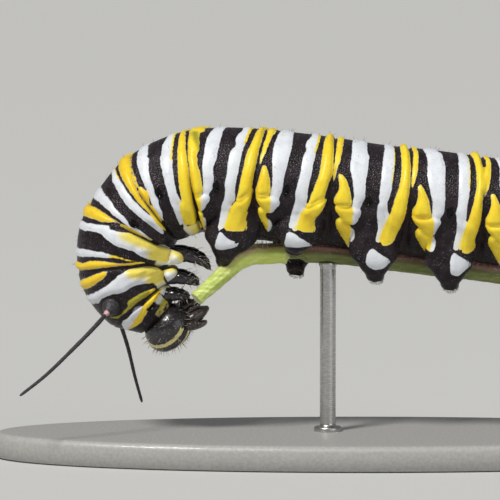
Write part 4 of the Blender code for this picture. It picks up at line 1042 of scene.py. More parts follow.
def skin_material(settings):
    material, tree, shader, place = start_material(
        "larva_skin", Roughness=0.36, Subsurface_Weight=0.12, Subsurface_Scale=0.0004,
        Specular_IOR_Level=0.38)
    shader.inputs["Subsurface Radius"].default_value = (1.0, 0.7, 0.45)
    wander = fade(tree, noise(tree, place, 3.0, 2.0, 0.6), 0.25, 0.75, -0.022, 0.022)
    grain = noise(tree, place, 14.0, 3.0, 0.65)
    cloud = noise(tree, place, 1.1, 4.0, 0.6)
    rough = fade(tree, grain, 0.3, 0.7, -0.4, 0.4)

    def inside(name):
        return fade(tree, add_up(tree, field(tree, name), wander), -0.018, 0.034)

    def tinted(name, low, high, most=1.0):
        return fade(tree, add_up(tree, field(tree, name), rough), low, high, 0.0, most)

    gold = math_node(tree, "MAXIMUM", inside("even"), inside("odd"))
    light_share = math_node(tree, "MAXIMUM", inside("white"), inside("patch"))
    light_share = math_node(tree, "MAXIMUM", light_share, gold)
    white = blend_colours(tree, fade(tree, cloud, 0.35, 0.7), settings.white, (0.70, 0.72, 0.77))
    rearward = add_node(tree, "ShaderNodeSeparateXYZ", {"Vector": place}).outputs["X"]
    front = fade(tree, rearward, -0.0105, -0.0155)
    yellow = blend_colours(tree, front, settings.yellow, (0.95, 0.65, 0.024))
    yellow = blend_colours(tree, fade(tree, cloud, 0.4, 0.75, 0.0, 0.7), yellow, (0.86, 0.56, 0.016))
    yellow = blend_colours(tree, fade(tree, grain, 0.55, 0.74, 0.0, 0.45), yellow, (0.95, 0.84, 0.20))
    olive = blend_colours(tree, fade(tree, grain, 0.4, 0.7), (0.30, 0.28, 0.02), (0.50, 0.43, 0.03))
    pale = blend_colours(tree, tinted("lemon", -0.9, 0.9, 0.9), white, (0.90, 0.73, 0.040))
    pale = blend_colours(tree, tinted("tint", -0.6, 0.7), pale, yellow)
    pale = blend_colours(tree, gold, pale, yellow)
    pale = blend_colours(tree, inside("patch"), pale, white)
    pale = blend_colours(tree, tinted("olive", -0.6, 0.7), pale, olive)
    # Faint pores on the light bands, and a few darker hair roots.
    pale = blend_colours(tree, fade(tree, cells(tree, place, 5.2), 0.05, 0.17, 0.38, 0.0), pale,
                         (0.24, 0.21, 0.20))
    pale = blend_colours(tree, fade(tree, cells(tree, place, 1.7), 0.02, 0.055, 0.6, 0.0), pale,
                         (0.07, 0.06, 0.06))
    # Grainy black with painted glints: pale specks in its colour, some bluish and some reddish, stand in for
    # sparkles of light on the grain.
    black = blend_colours(tree, fade(tree, cloud, 0.3, 0.7), settings.black, (0.026, 0.018, 0.021))
    painted_glint_patches = fade(tree, noise(tree, place, 2.6, 3.0, 0.6), 0.38, 0.68)
    for per_mm, size, strength, tint in ((8.0, 0.24, 0.9, (0.30, 0.30, 0.40)),
                                         (12.0, 0.28, 0.7, (0.26, 0.15, 0.20))):
        painted_glint = fade(tree, cells(tree, place, per_mm), size * 0.4, size, strength, 0.0)
        black = blend_colours(tree, multiply(tree, painted_glint, painted_glint_patches), black, tint)
    skin = blend_colours(tree, light_share, black, pale)
    # Painted shade: the fold grooves are darkened towards brown-black, partly the brown skin between the
    # rings and partly the shade that falls into them.
    skin = blend_colours(tree, multiply(tree, field(tree, "fold"), 0.9), skin, (0.022, 0.010, 0.007))
    colour_shader(tree, shader, skin, fade(tree, light_share, 0.0, 1.0, 0.33, 0.36))
    tree.links.new(fade(tree, light_share, 0.0, 1.0, 0.20, 0.40), shader.inputs["Specular IOR Level"])
    wrinkle = drawn_noise(tree, place, (2.2, 1.0, 1.0), 3.4, 5.0, 0.6)
    beads = multiply(tree, cells(tree, place, 9.0), fade(tree, light_share, 0.0, 1.0, 1.3, 0.12))
    height = add_up(tree, multiply(tree, wrinkle, 0.55), beads)
    height = add_up(tree, height, multiply(tree, grain, 0.22))
    bump(tree, shader, height, 0.030, 0.9)
    return material


class LARVA_OT_skin(bpy.types.Operator):
    """Builds the banded skin of the body, with its folds, lobes and prolegs, as one closed surface"""

    bl_idname = "larva.skin"
    bl_label = "Skin"

    def execute(self, context):
        settings = context.scene.larva
        rows, columns = settings.body_rows, settings.body_columns
        along_steps, around_steps = skin_grid(rows, columns)
        along = np.repeat(along_steps, columns)
        around = np.tile(around_steps, rows)
        source, turn = left_place(along, around), np.abs(around)
        body_fields, rise = marking_fields(source, turn)
        low, fold = fold_relief(source, turn, settings.fold_depth / MM)
        seed = np.where(around < 0, 0.0, 40.0)
        wave = 0.03 * ripple(along * 3.2 + seed, turn / 24.0, 5)
        rise = rise + low + belly_sag(along, turn) + wave * ease((turn - 70.0) / 40.0)
        rise *= ease(along / 0.3) * ease((TAIL - along) / 0.35) * 0.85 + 0.15
        points = skin_points(along, around, rise)
        draw_out_leg_bases(points, along, around, body_fields)
        share, leg = draw_out_prolegs(points, along, around)
        fields = self.leg_fields(body_fields, points, along, source, share, leg)
        # How dark each fold groove is painted, partly brown skin and partly painted shade, faded out down the
        # prolegs.
        fields["fold"] = fold * (1.0 - ease((share - 0.3) / 0.2))
        fields["keep"] = 1.0 - np.clip(fields["fold"], 0.0, 1.0)
        rings = points.reshape(rows, columns, 3)
        neck = self.end_rings(rings[0], 0.0, NECK_STEPS)
        tail = self.end_rings(rings[-1], TAIL, TAIL_STEPS)
        for key, values in fields.items():
            fields[key] = spread(values.reshape(rows, columns), len(neck), len(tail))
        nodes = [*RINGS, *(row[0] for row in PROLEGS)]
        body = np.concatenate([neck, rings, tail])
        add_piece("larva_skin", [body], skin_material(settings), nodes, fields)
        return {"FINISHED"}

    @staticmethod
    def end_rings(ring, place, steps):
        """Rings that draw the skin in behind the head or close the tail."""
        centre, rearward = spine_at(place)
        return np.stack([centre + (ring - centre) * size + rearward * behind for behind, size in steps])

    @staticmethod
    def leg_fields(fields, points, along, source, share, leg):
        """Marking distances at each point. On a proleg they follow the point's own height and place along."""
        on_leg = np.flatnonzero(leg >= 0)
        centre, rearward, back, reach = spine(along[on_leg])
        away = points[on_leg] - centre
        seen_at = source[on_leg] + (away * rearward).sum(1) / reach
        seen, _ = marking_fields(seen_at, -(away * back).sum(1), True)
        weight = ease((share[on_leg] - SOCKET_SHARE) / 0.08)
        for key, values in fields.items():
            values[on_leg] += (seen[key] - values[on_leg]) * weight
        fields["patch"] = np.full(len(points), -PATCH_LIMIT)
        tips = {row[0]: row[3] for row in PROLEGS}
        for index, (name, ring, side, tip) in enumerate(PROLEGS):
            mine = np.flatnonzero(leg == index)
            middle, _, _ = proleg_path(ring, side, tip, share[mine])
            outward = (points[mine, 1] - middle[:, 1]) * side
            partner = name.replace("right", "left")
            patch = np.asarray(LEG_PATCHES[partner]) + (tip[0] - tips[partner][0], tip[2] - tips[partner][2])
            spot = inside_distance(points[mine, 0], points[mine, 2], rounded(patch))
            spot = spot.clip(-PATCH_LIMIT, PATCH_LIMIT)
            fields["patch"][mine] = spot - 0.5 * ease((0.25 - outward) / 0.5)
            points[mine, 1] += side * PATCH_RISE * ease((fields["patch"][mine] + 0.04) / 0.2)
            inner = 0.7 * ease((0.05 - outward) / 0.3) * ease((share[mine] - 0.3) / 0.2)
            for key in ("white", "even", "odd"):
                fields[key][mine] -= inner + 0.4 * ease((share[mine] - 0.5) / 0.2)
        return fields


# Horny parts


def horn_material(name, colour, roughness, shine=0.5):
    material, tree, shader, place = start_material(name, Roughness=roughness, Coat_Weight=0.7 * shine,
                                                   Coat_Roughness=0.12, Specular_IOR_Level=shine)
    grain = noise(tree, place, 9.0, 4.0, 0.6)
    tone = blend_colours(tree, fade(tree, grain, 0.35, 0.75), colour,
                         tuple(c * 1.9 + 0.012 * shine for c in colour))
    colour_shader(tree, shader, tone, fade(tree, grain, 0.3, 0.7, roughness * 0.8, roughness * 1.5))
    bump(tree, shader, add_up(tree, grain, multiply(tree, cells(tree, place, 7.0), 0.6)), 0.007, 0.6)
    return material


def head_frame():
    """Centre of the head, and its forward, up and side directions."""
    x, z, heading = FOLDS[0]
    angle = math.radians(heading + 180.0)
    forward = np.array([math.cos(angle), 0.0, math.sin(angle)])
    centre = np.array([x, 0.0, z]) + forward * HEAD_AHEAD
    return centre, np.stack([forward, (forward[2], 0.0, -forward[0]), (0.0, 1.0, 0.0)])


def head_place(places):
    centre, axes = head_frame()
    return centre + np.asarray(places, float) @ axes


def head_surface(lift, turn):
    """Capsule points in head coordinates. lift runs from neck to face, turn from the crown to a side."""
    side, up = np.sin(turn), np.cos(turn)
    wrapped = np.degrees(np.abs((turn + math.pi) % (2 * math.pi) - math.pi))
    reach = np.cos(lift)
    seam = sum(depth * fall_off(wrapped, width) for depth, width in HEAD_SEAMS)
    seam = seam * np.clip(reach, 0.0, 1.0) ** 0.7
    ahead = HEAD_HALF[0] * np.sin(lift) * (1.0 - FACE_FLATTEN * np.maximum(np.sin(lift), 0.0))
    tall = HEAD_HALF[1] - seam - np.where(up < 0, CHIN_CUT, 0.0)
    return np.stack([ahead, tall * reach * up, HEAD_HALF[2] * reach * side], -1)


def head_material():
    material, tree, shader, place = start_material("larva_head", Roughness=0.26, Coat_Weight=0.4,
                                                   Coat_Roughness=0.1)
    grain = noise(tree, place, 8.0, 4.0, 0.6)
    wander = fade(tree, noise(tree, place, 5.0), 0.2, 0.8, -0.03, 0.03)
    dark = blend_colours(tree, fade(tree, grain, 0.4, 0.75), (0.012, 0.010, 0.012), (0.040, 0.033, 0.036))
    pale = blend_colours(tree, fade(tree, grain, 0.3, 0.7), (0.74, 0.60, 0.12), (0.82, 0.76, 0.42))
    share = fade(tree, add_up(tree, field(tree, "stripe"), wander), -0.02, 0.04)
    tone = blend_colours(tree, share, dark, pale)
    tone = blend_colours(tree, fade(tree, field(tree, "lens"), 0.3, 0.6), tone, (0.006, 0.005, 0.006))
    colour_shader(tree, shader, tone)
    bump(tree, shader, add_up(tree, grain, cells(tree, place, 6.0, "SMOOTH_F1")), 0.016, 0.75)
    return material


def ridge_distance(places, line):
    """Distance of points of the capsule, in head coordinates, to a line that is laid onto it, in mm."""
    line = np.asarray(line, float)
    steps = np.linspace(0.0, len(line) - 1.0, 6 * len(line))
    laid = np.stack([np.interp(steps, np.arange(len(line)), column) for column in line.T], 1)
    laid = np.stack([nearest_place(places, point) for point in laid])
    nearest = np.full(len(places), 1e9)
    for start, end in zip(laid, laid[1:]):
        reach = end - start
        share = np.clip((places - start) @ reach / max(reach @ reach, 1e-9), 0.0, 1.0)
        nearest = np.minimum(nearest, np.linalg.norm(places - start - share[:, None] * reach, axis=1))
    return nearest


# Lines laid onto one half of the head and its eyes, in head coordinates, and their sizes in mm. The other
# half mirrors them.
FACE_SEAM = ((0.80, 0.85, 0.0), (1.12, 0.35, 0.24), (1.18, -0.25, 0.46), (1.04, -0.78, 0.62))
FACE_STRIPE = ((0.15, 1.70, 0.14), (0.75, 1.35, 0.20), (1.15, 0.65, 0.42), (1.28, -0.05, 0.70),
               (1.10, -0.75, 0.92))
CHEEK_STRIPE = ((-0.55, 1.55, 0.45), (0.05, 1.45, 0.85), (0.50, 0.85, 1.30), (0.68, 0.10, 1.48),
                (0.55, -0.62, 1.42))
STRIPE_HALF, SEAM_DEPTH, SEAM_WIDTH = 0.15, 0.055, 0.05
EYES = ((0.46, -0.62, 1.38), (0.66, -0.52, 1.30), (0.80, -0.72, 1.14), (0.76, -0.94, 1.06),
        (0.56, -1.02, 1.14), (0.36, -0.88, 1.30))
EYE_RADIUS, EYE_RISE = 0.085, 0.05


class LARVA_OT_head(bpy.types.Operator):
    """Builds the hard head capsule with its seams, pale stripes and simple eyes"""

    bl_idname = "larva.head"
    bl_label = "Head"

    def execute(self, context):
        rows, columns = 96, 144
        low = -math.asin(HEAD_BACK_CUT / HEAD_HALF[0])
        lift = np.linspace(low, math.pi / 2 * 0.985, rows)
        turn = 2 * math.pi * (np.arange(columns) + 0.5) / columns
        lifts, turned = (grid.ravel() for grid in np.meshgrid(lift, turn, indexing="ij"))
        places = head_surface(lifts, turned)
        mirrored = places.copy()
        mirrored[:, 2] = np.abs(mirrored[:, 2])
        seam = ridge_distance(mirrored, FACE_SEAM)
        distances = [ridge_distance(mirrored, line) for line in (FACE_STRIPE, CHEEK_STRIPE)]
        stripe = STRIPE_HALF - np.minimum(*distances)
        lens, swell = np.zeros(len(places)), np.zeros(len(places))
        for eye in EYES:
            away = np.linalg.norm(mirrored - nearest_place(mirrored, eye), axis=1)
            dome = np.sqrt(np.clip(1.0 - (away / EYE_RADIUS) ** 2, 0.0, 1.0))
            swell = np.maximum(swell, EYE_RISE * dome)
            lens = np.maximum(lens, ease((EYE_RADIUS * 1.15 - away) / 0.03))
        bumps = 0.006 * ripple(places[:, 0] * 3 + places[:, 2], places[:, 1] * 3, 11)
        places += unit(places) * (swell - SEAM_DEPTH * fall_off(seam, SEAM_WIDTH) + bumps)[:, None]
        rings = head_place(places).reshape(rows, columns, 3)
        fields = {"stripe": stripe, "lens": lens, "keep": (1.0 - lens) * ease((lifts - low) / 0.5)}
        fields = {key: spread(values.reshape(rows, columns)) for key, values in fields.items()}
        add_piece("larva_head", [rings], head_material(), ["head"], fields)
        return {"FINISHED"}


def nearest_place(places, target):
    return places[np.argmin(np.linalg.norm(places - np.asarray(target), axis=1))]


# Mouthparts in head coordinates, a pair's as on its right side: columns, root, tip, and rings of share, half
# width and half depth.
MANDIBLE = (40, (0.52, -1.20, 0.62), (0.84, -2.52, 0.12),
            ((0.0, 0.48, 0.38), (0.2, 0.53, 0.41), (0.45, 0.52, 0.41), (0.65, 0.47, 0.37), (0.82, 0.38, 0.29),
             (0.93, 0.30, 0.20), (1.0, 0.20, 0.10)))
LABRUM = (48, (1.02, -0.92, 0.0), (1.42, -1.90, 0.0),
          ((0.0, 0.66, 0.16), (0.2, 0.72, 0.20), (0.5, 0.76, 0.22), (0.75, 0.74, 0.20), (0.9, 0.68, 0.16),
           (1.0, 0.55, 0.10)))
LABIUM = (32, (-0.35, -1.20, 0.0), (0.02, -2.50, 0.0),
          ((0.0, 0.54, 0.44), (0.25, 0.57, 0.46), (0.5, 0.52, 0.42), (0.62, 0.44, 0.35), (0.72, 0.35, 0.28),
           (0.78, 0.20, 0.18), (0.90, 0.13, 0.13), (1.0, 0.07, 0.07)))
FEELER = (24, (0.70, -0.90, 1.05), (1.20, -1.75, 1.75),
          ((0.0, 0.27, 0.27), (0.12, 0.29, 0.29), (0.38, 0.28, 0.28), (0.40, 0.22, 0.22),
           (0.44, 0.235, 0.235), (0.68, 0.22, 0.22), (0.70, 0.15, 0.15), (0.74, 0.16, 0.16),
           (0.86, 0.14, 0.14), (0.88, 0.07, 0.07), (1.0, 0.04, 0.04)))
PALP = (18, (0.10, -1.62, 0.62), (0.34, -2.42, 0.72),
        ((0.0, 0.18, 0.18), (0.3, 0.20, 0.20), (0.32, 0.15, 0.15), (0.6, 0.16, 0.16), (0.62, 0.11, 0.11),
         (0.85, 0.11, 0.11), (1.0, 0.05, 0.05)))


def mouth_rings(part, side=1):
    """Rings of a mouthpart, and the share of its length that each stands at."""
    columns, root, tip, shape = part
    root, tip = (head_place((p[0], p[1], p[2] * side)) for p in (root, tip))
    shares = fill_steps(shape, 5)
    centres = root + (tip - root) * shares[:, None]
    axes = steady_axes(unit(np.repeat((tip - root)[None], len(shares), 0)))
    return round_rings(centres, *axes, read_shape(shape, shares), columns), shares


class LARVA_OT_mouth(bpy.types.Operator):
    """Builds jaws, lips, palps and the short jointed antennae"""

    bl_idname = "larva.mouth"
    bl_label = "Mouthparts"

    def execute(self, context):
        material = horn_material("larva_mouth_horn", (0.022, 0.015, 0.013), 0.28)
        for side, word in ((-1, "left"), (1, "right")):
            rings, shares = mouth_rings(MANDIBLE, side)
            # Teeth along the biting edge.
            edge = ease((shares - 0.86) / 0.14)[:, None]
            ahead = self.direction(rings)
            teeth = 0.10 * np.abs(np.sin(turns(MANDIBLE[0]) * 2.5)) - 0.03
            rings += (edge * teeth[None])[..., None] * ahead
            add_piece("larva_mandible_" + word, [rings], material, ["mandible_" + word])
            rings, _ = mouth_rings(FEELER, side)
            add_piece("larva_antenna_" + word, [rings], material, ["antenna_" + word])
        rings, shares = mouth_rings(LABRUM)
        middle = rings.mean(1, keepdims=True)
        across = np.abs((rings - middle)[..., 1])
        notch = ease((shares - 0.70) / 0.30)[:, None] * fall_off(across, 0.20)
        rings -= notch[..., None] * 0.30 * self.direction(rings)
        pale = horn_material("larva_lip_horn", (0.055, 0.045, 0.035), 0.3)
        add_piece("larva_labrum", [rings], pale, ["labrum"])
        tubes = [mouth_rings(part, side)[0] for part, side in ((LABIUM, 1), (PALP, -1), (PALP, 1))]
        add_piece("larva_labium", tubes, material, ["labium"])
        return {"FINISHED"}

    @staticmethod
    def direction(rings):
        return unit(rings[-1].mean(0) - rings[0].mean(0))


def jointed_leg(ring, side, tip, knee):
    """Rings of a jointed leg from its root in the body to its claw."""
    middle, out, *_ = leg_base_axes(ring, side)
    middle[1] -= side * LEG_BEYOND_BASE
    _, rearward = spine_at(ring + 0.5)
    root, skin, tip = middle - out * LEG_DEPTH, middle + out * LEG_BASES[ring][6], np.asarray(tip)
    pull = (skin + tip) / 2 - rearward * knee + np.array([0.0, side * LEG_SPREAD, 0.0])
    shares = fill_steps(LEG_SHAPE, 4)
    path = bent_path(root, pull, tip, shares, rearward)
    return round_rings(*path, read_shape(LEG_SHAPE, shares)[:, 0], LEG_COLUMNS)


class LARVA_OT_legs(bpy.types.Operator):
    """Builds the six jointed legs with their claws"""

    bl_idname = "larva.legs"
    bl_label = "Jointed legs"

    def execute(self, context):
        material = horn_material("larva_leg_horn", (0.010, 0.008, 0.010), 0.20)
        for name, *leg in LEGS:
            rings = jointed_leg(*leg)
            keep = ease((np.linspace(0.0, 1.0, len(rings)) - 0.25) / 0.2)[:, None].repeat(LEG_COLUMNS, 1)
            add_piece("larva_" + name, [rings], material, [name], {"keep": spread(keep)})
        return {"FINISHED"}


def filament_material():
    material, tree, shader, place = start_material("larva_filament", Roughness=0.48)
    grain = noise(tree, place, 9.0, 4.0, 0.65)
    dark = blend_colours(tree, fade(tree, grain, 0.35, 0.75), (0.016, 0.013, 0.016), (0.060, 0.052, 0.058))
    # Painted highlight: a pinkish ring near the root, where the filament bends out of its swelling, stands in
    # for light glancing off it.
    painted_highlight = fade(tree, field(tree, "root"), 0.35, 0.8)
    painted_highlight = multiply(tree, painted_highlight, fade(tree, grain, 0.3, 0.6, 0.45, 1.0))
    colour_shader(tree, shader, blend_colours(tree, painted_highlight, dark, (0.85, 0.50, 0.50)))
    bump(tree, shader, add_up(tree, grain, cells(tree, place, 8.0)), 0.03, 0.8)
    return material


class LARVA_OT_filaments(bpy.types.Operator):
    """Builds the four soft filaments on the back"""

    bl_idname = "larva.filaments"
    bl_label = "Filaments"

    def execute(self, context):
        material = filament_material()
        for name, ring, side, along, around, path in FILAMENTS:
            skin = skin_point(ring + along, side * around)
            centre, _ = spine_at(ring + along)
            root = centre + (skin - centre) * FILAMENT_DEPTH
            line, ahead, length = smooth_path([root, *path], FILAMENT_ROWS)
            share = np.linspace(0.0, 1.0, FILAMENT_ROWS)
            out = share * length
            radius = FILAMENT_RADIUS - FILAMENT_TAPER * share**1.5 + FILAMENT_ROOT * (1.0 - ease(out - 0.35))
            radius *= 1.0 + 0.03 * np.sin(out * 21.0) + 0.03 * ripple(out * 1.3, share, 21)
            radius *= np.sqrt(np.clip(1.0 - ((share - 0.965) / 0.036).clip(0.0) ** 2, 0.02, 1.0))
            rings = round_rings(line, *steady_axes(ahead), radius, FILAMENT_COLUMNS)
            # Where the pinkish highlight is painted, kept in the attribute root.
            spot = fall_off(out - FILAMENT_HIGHLIGHT[0], FILAMENT_HIGHLIGHT[1])[:, None].repeat(FILAMENT_COLUMNS, 1)
            add_piece("larva_" + name, [rings], material, [name], {"root": spread(spot)})
        return {"FINISHED"}


class LARVA_OT_spiracles(bpy.types.Operator):
    """Builds the breathing pores along both flanks, each a dark oval in a raised rim"""

    bl_idname = "larva.spiracles"
    bl_label = "Breathing pores"

    def execute(self, context):
        material = horn_material("larva_pore_horn", (0.001, 0.0008, 0.001), 0.13, 0.15)
        sizes, heights = np.transpose(SPIRACLE_SHAPE)
        tubes = []
        for ring, share, around in SPIRACLES:
            for side in (-1, 1):
                along = ring + share / 100
                if side > 0:
                    along += 2.0 * float(band_lean(along)) * math.sin(math.radians(around))
                here = skin_point(along, side * around)
                centre, rearward = spine_at(along)
                out = unit(here - centre)
                first = unit(rearward - out * (rearward @ out))
                axes = (np.tile(axis, (len(sizes), 1)) for axis in (first, np.cross(out, first)))
                centres = here + np.outer(heights + SPIRACLE_LIFT, out)
                tubes.append(round_rings(centres, *axes, np.outer(sizes, SPIRACLE_HALF), SPIRACLE_COLUMNS))
        add_piece("larva_spiracles", tubes, material)
        return {"FINISHED"}


# What grows on the surfaces, by Geometry Nodes

GROWTH_INPUTS = (("Ground", "Geometry"), ("Shape", "Object"), ("Density", "Float"), ("Shortest", "Float"),
                 ("Longest", "Float"), ("Lean", "Vector"), ("Scatter", "Float"), ("Seed", "Int"),
                 ("Material", "Material"))


def growth_tree(name, on_faces):
    """Nodes that stand one shape, tilted and sized at random, all over the faces of a mesh where its
    attribute keep allows, or else on its points, along their attributes aim and out."""
    tree = bpy.data.node_groups.new(name, "GeometryNodeTree")
    for label, kind in GROWTH_INPUTS:
        tree.interface.new_socket(name=label, in_out="INPUT", socket_type="NodeSocket" + kind)
    tree.interface.new_socket(name="Grown", in_out="OUTPUT", socket_type="NodeSocketGeometry")
    given = tree.nodes.new("NodeGroupInput").outputs

    def attribute(kind, label):
        return add_node(tree, "GeometryNodeInputNamedAttribute", {"Name": label},
                        data_type=kind).outputs["Attribute"]

    def vector_sum(first, second):
        return add_node(tree, "ShaderNodeVectorMath", {0: first, 1: second}, operation="ADD").outputs[0]

    def random_value(lowest, highest, kind="FLOAT_VECTOR"):
        first = 0 if kind == "FLOAT_VECTOR" else 2
        inputs = {first: lowest, first + 1: highest, 8: given["Seed"]}
        return add_node(tree, "FunctionNodeRandomValue", inputs, data_type=kind).outputs[first // 2]

    if on_faces:
        thick = multiply(tree, given["Density"], attribute("FLOAT", "keep"))
        strewn = add_node(tree, "GeometryNodeDistributePointsOnFaces",
                          {"Mesh": given["Ground"], "Density": thick, "Seed": given["Seed"]})
        points, aim = strewn.outputs["Points"], strewn.outputs["Normal"]
        spin = random_value((0.0, 0.0, 0.0), (0.0, 0.0, 2 * math.pi))
        start = add_node(tree, "FunctionNodeEulerToRotation", {"Euler": spin}).outputs[0]
    else:
        points = add_node(tree, "GeometryNodeMeshToPoints", {"Mesh": given["Ground"]}).outputs[0]
        aim = attribute("FLOAT_VECTOR", "aim")
        start = add_node(tree, "FunctionNodeAlignRotationToVector",
                         {"Vector": attribute("FLOAT_VECTOR", "out")}, axis="X").outputs[0]
    stray = random_value((-1.0, -1.0, -1.0), (1.0, 1.0, 1.0))
    stray = add_node(tree, "ShaderNodeVectorMath", {0: stray, 3: given["Scatter"]},
                     operation="SCALE").outputs[0]
    aim = vector_sum(vector_sum(aim, given["Lean"]), stray)
    turned = add_node(tree, "FunctionNodeAlignRotationToVector", {"Rotation": start, "Vector": aim}, axis="Z")
    size = random_value(given["Shortest"], given["Longest"], "FLOAT")
    shape = add_node(tree, "GeometryNodeObjectInfo", {"Object": given["Shape"]}).outputs["Geometry"]
    grown = add_node(tree, "GeometryNodeInstanceOnPoints", {
        "Points": points, "Instance": shape, "Rotation": turned.outputs[0], "Scale": size}).outputs[0]
    grown = add_node(tree, "GeometryNodeRealizeInstances", {"Geometry": grown}).outputs[0]
    grown = add_node(tree, "GeometryNodeSetMaterial",
                     {"Geometry": grown, "Material": given["Material"]}).outputs[0]
    tree.links.new(grown, tree.nodes.new("NodeGroupOutput").inputs["Grown"])
    return tree


def grow(name, ground, shape, material, slot, on_faces=True, **values):
    """Grows a shape on a ground mesh with the node tree, and keeps the result as a plain mesh piece."""
    tree = growth_tree(name + "_nodes", on_faces)
    values.update(Shape=shape, Material=material)
    host = link_object(name + "_ground", ground)
    growing = host.modifiers.new("growth", "NODES")
    growing.node_group = tree
    for socket in tree.interface.items_tree:
        if socket.in_out == "INPUT" and socket.name in values:
            growing[socket.identifier] = values[socket.name]
    depsgraph = bpy.context.evaluated_depsgraph_get()
    mesh = bpy.data.meshes.new_from_object(host.evaluated_get(depsgraph))
    host.modifiers.clear()
    bpy.data.objects.remove(host)
    if not mesh.polygons:
        raise RuntimeError("nothing grew: " + name)
    mesh.name = name
    declare(name, mesh)


def strand(name, path, radii, sides):
    """A thin tapering strand along a path in mm, to be stood on a surface by the node tree."""
    line = np.asarray(path, float)
    axes = steady_axes(unit(np.gradient(line, axis=0)))
    mesh = tube_mesh(name, [round_rings(line, *axes, radii, sides)])
    face_out(mesh)
    return link_object(name, mesh)


def hair_material(name, dark, pale):
    """Fine hair whose colour wanders between a dark and a pale one."""
    material, tree, shader, place = start_material(name, Roughness=0.28, Specular_IOR_Level=0.7)
    grain = fade(tree, noise(tree, place, 6.0), 0.35, 0.65)
    colour_shader(tree, shader, blend_colours(tree, grain, dark, pale))
    return material


class LARVA_OT_hairs(bpy.types.Operator):
    """Grows short fine hairs on the skin, longer bristles on the head and legs, and hairs on the stem"""

    bl_idname = "larva.hairs"
    bl_label = "Hairs and bristles"

    def execute(self, context):
        settings, stand = context.scene.larva, context.scene.larva_stand
        fine, thick = strand("hair_fine", *FINE_HAIR, 3), strand("hair_thick", *THICK_HAIR, 4)
        dark = hair_material("larva_hair_dark", (0.010, 0.008, 0.010), (0.045, 0.038, 0.040))
        pale = hair_material("larva_hair_pale", (0.16, 0.13, 0.11), (0.62, 0.58, 0.52))
        white = hair_material("stem_hair_white", (0.62, 0.66, 0.52), (0.85, 0.86, 0.80))
        long, short = settings.bristle_length / MM, stand.hair_length / MM
        kinds = {"fine": (fine, dark, long), "thick": (thick, pale, long), "stem": (thick, white, short)}
        legs = [("larva_bristles_" + leg[0], "larva_" + leg[0], *LEG_BRISTLES) for leg in LEGS]
        seeds = [*range(HAIR_SEED, HAIR_SEED + len(HAIRS)), *range(LEG_SEED, LEG_SEED + len(LEGS))]
        for seed, row in zip(seeds, [*HAIRS, *legs]):
            name, ground, kind, slot, per_square_mm, (least, most), lean, stray = row
            shape, material, length = kinds[kind]
            grow(name, bpy.data.objects[ground].data, shape, material, slot, Density=per_square_mm / MM**2,
                 Shortest=least * length, Longest=most * length, Lean=lean, Scatter=stray, Seed=seed)
        for shape in (fine, thick):
            bpy.data.objects.remove(shape)
        return {"FINISHED"}


class LARVA_OT_hooks(bpy.types.Operator):
    """Sets the curved hooks that grip round the sole of every proleg"""

    bl_idname = "larva.hooks"
    bl_label = "Proleg hooks"

    def execute(self, context):
        bend = np.linspace(0.0, math.radians(HOOK_BEND), len(HOOK_RADII))
        path = np.stack([0.30 * (1.0 - np.cos(bend)), 0.0 * bend, 0.55 * np.sin(bend) + 0.12 * bend], 1)
        hook = strand("hook", path, HOOK_RADII, 5)
        horn = hair_material("larva_hook_horn", (0.05, 0.030, 0.018), (0.20, 0.13, 0.075))
        turn = (2 * math.pi * (np.arange(HOOKS) + 0.5) / HOOKS)[:, None]
        places, aims, outs = [], [], []
        for _, ring, side, tip in PROLEGS:
            scale = CLASPER_SCALE if ring == CLASPER_RING else 1.0
            line, first, second = proleg_path(ring, side, tip, np.array(HOOK_SHARES))
            ahead = unit(line[1] - line[0])
            out = (first[0] * (HOOK_RING[0] * scale * np.cos(turn))
                   + second[0] * (HOOK_RING[1] * scale * np.sin(turn)))
            places.append(line[0] + ahead * HOOK_OUT + out)
            aims.append(ahead + unit(out) * HOOK_SPLAY)
            outs.append(unit(out))
        ground = bpy.data.meshes.new("hook_places")
        ground.from_pydata((np.concatenate(places) * MM).tolist(), [], [])
        for key, values in (("aim", np.concatenate(aims)), ("out", np.concatenate(outs))):
            ground.attributes.new(key, "FLOAT_VECTOR", "POINT").data.foreach_set(
                "vector", unit(values).astype(np.float32).ravel())
        grow("larva_hooks", ground, hook, horn, "horn_black", on_faces=False, Shortest=HOOK_LENGTHS[0],
             Longest=HOOK_LENGTHS[1], Lean=(0.0, 0.0, 0.0), Scatter=0.12, Seed=HOOK_SEED)
        bpy.data.objects.remove(hook)
        return {"FINISHED"}


# Stem and stand


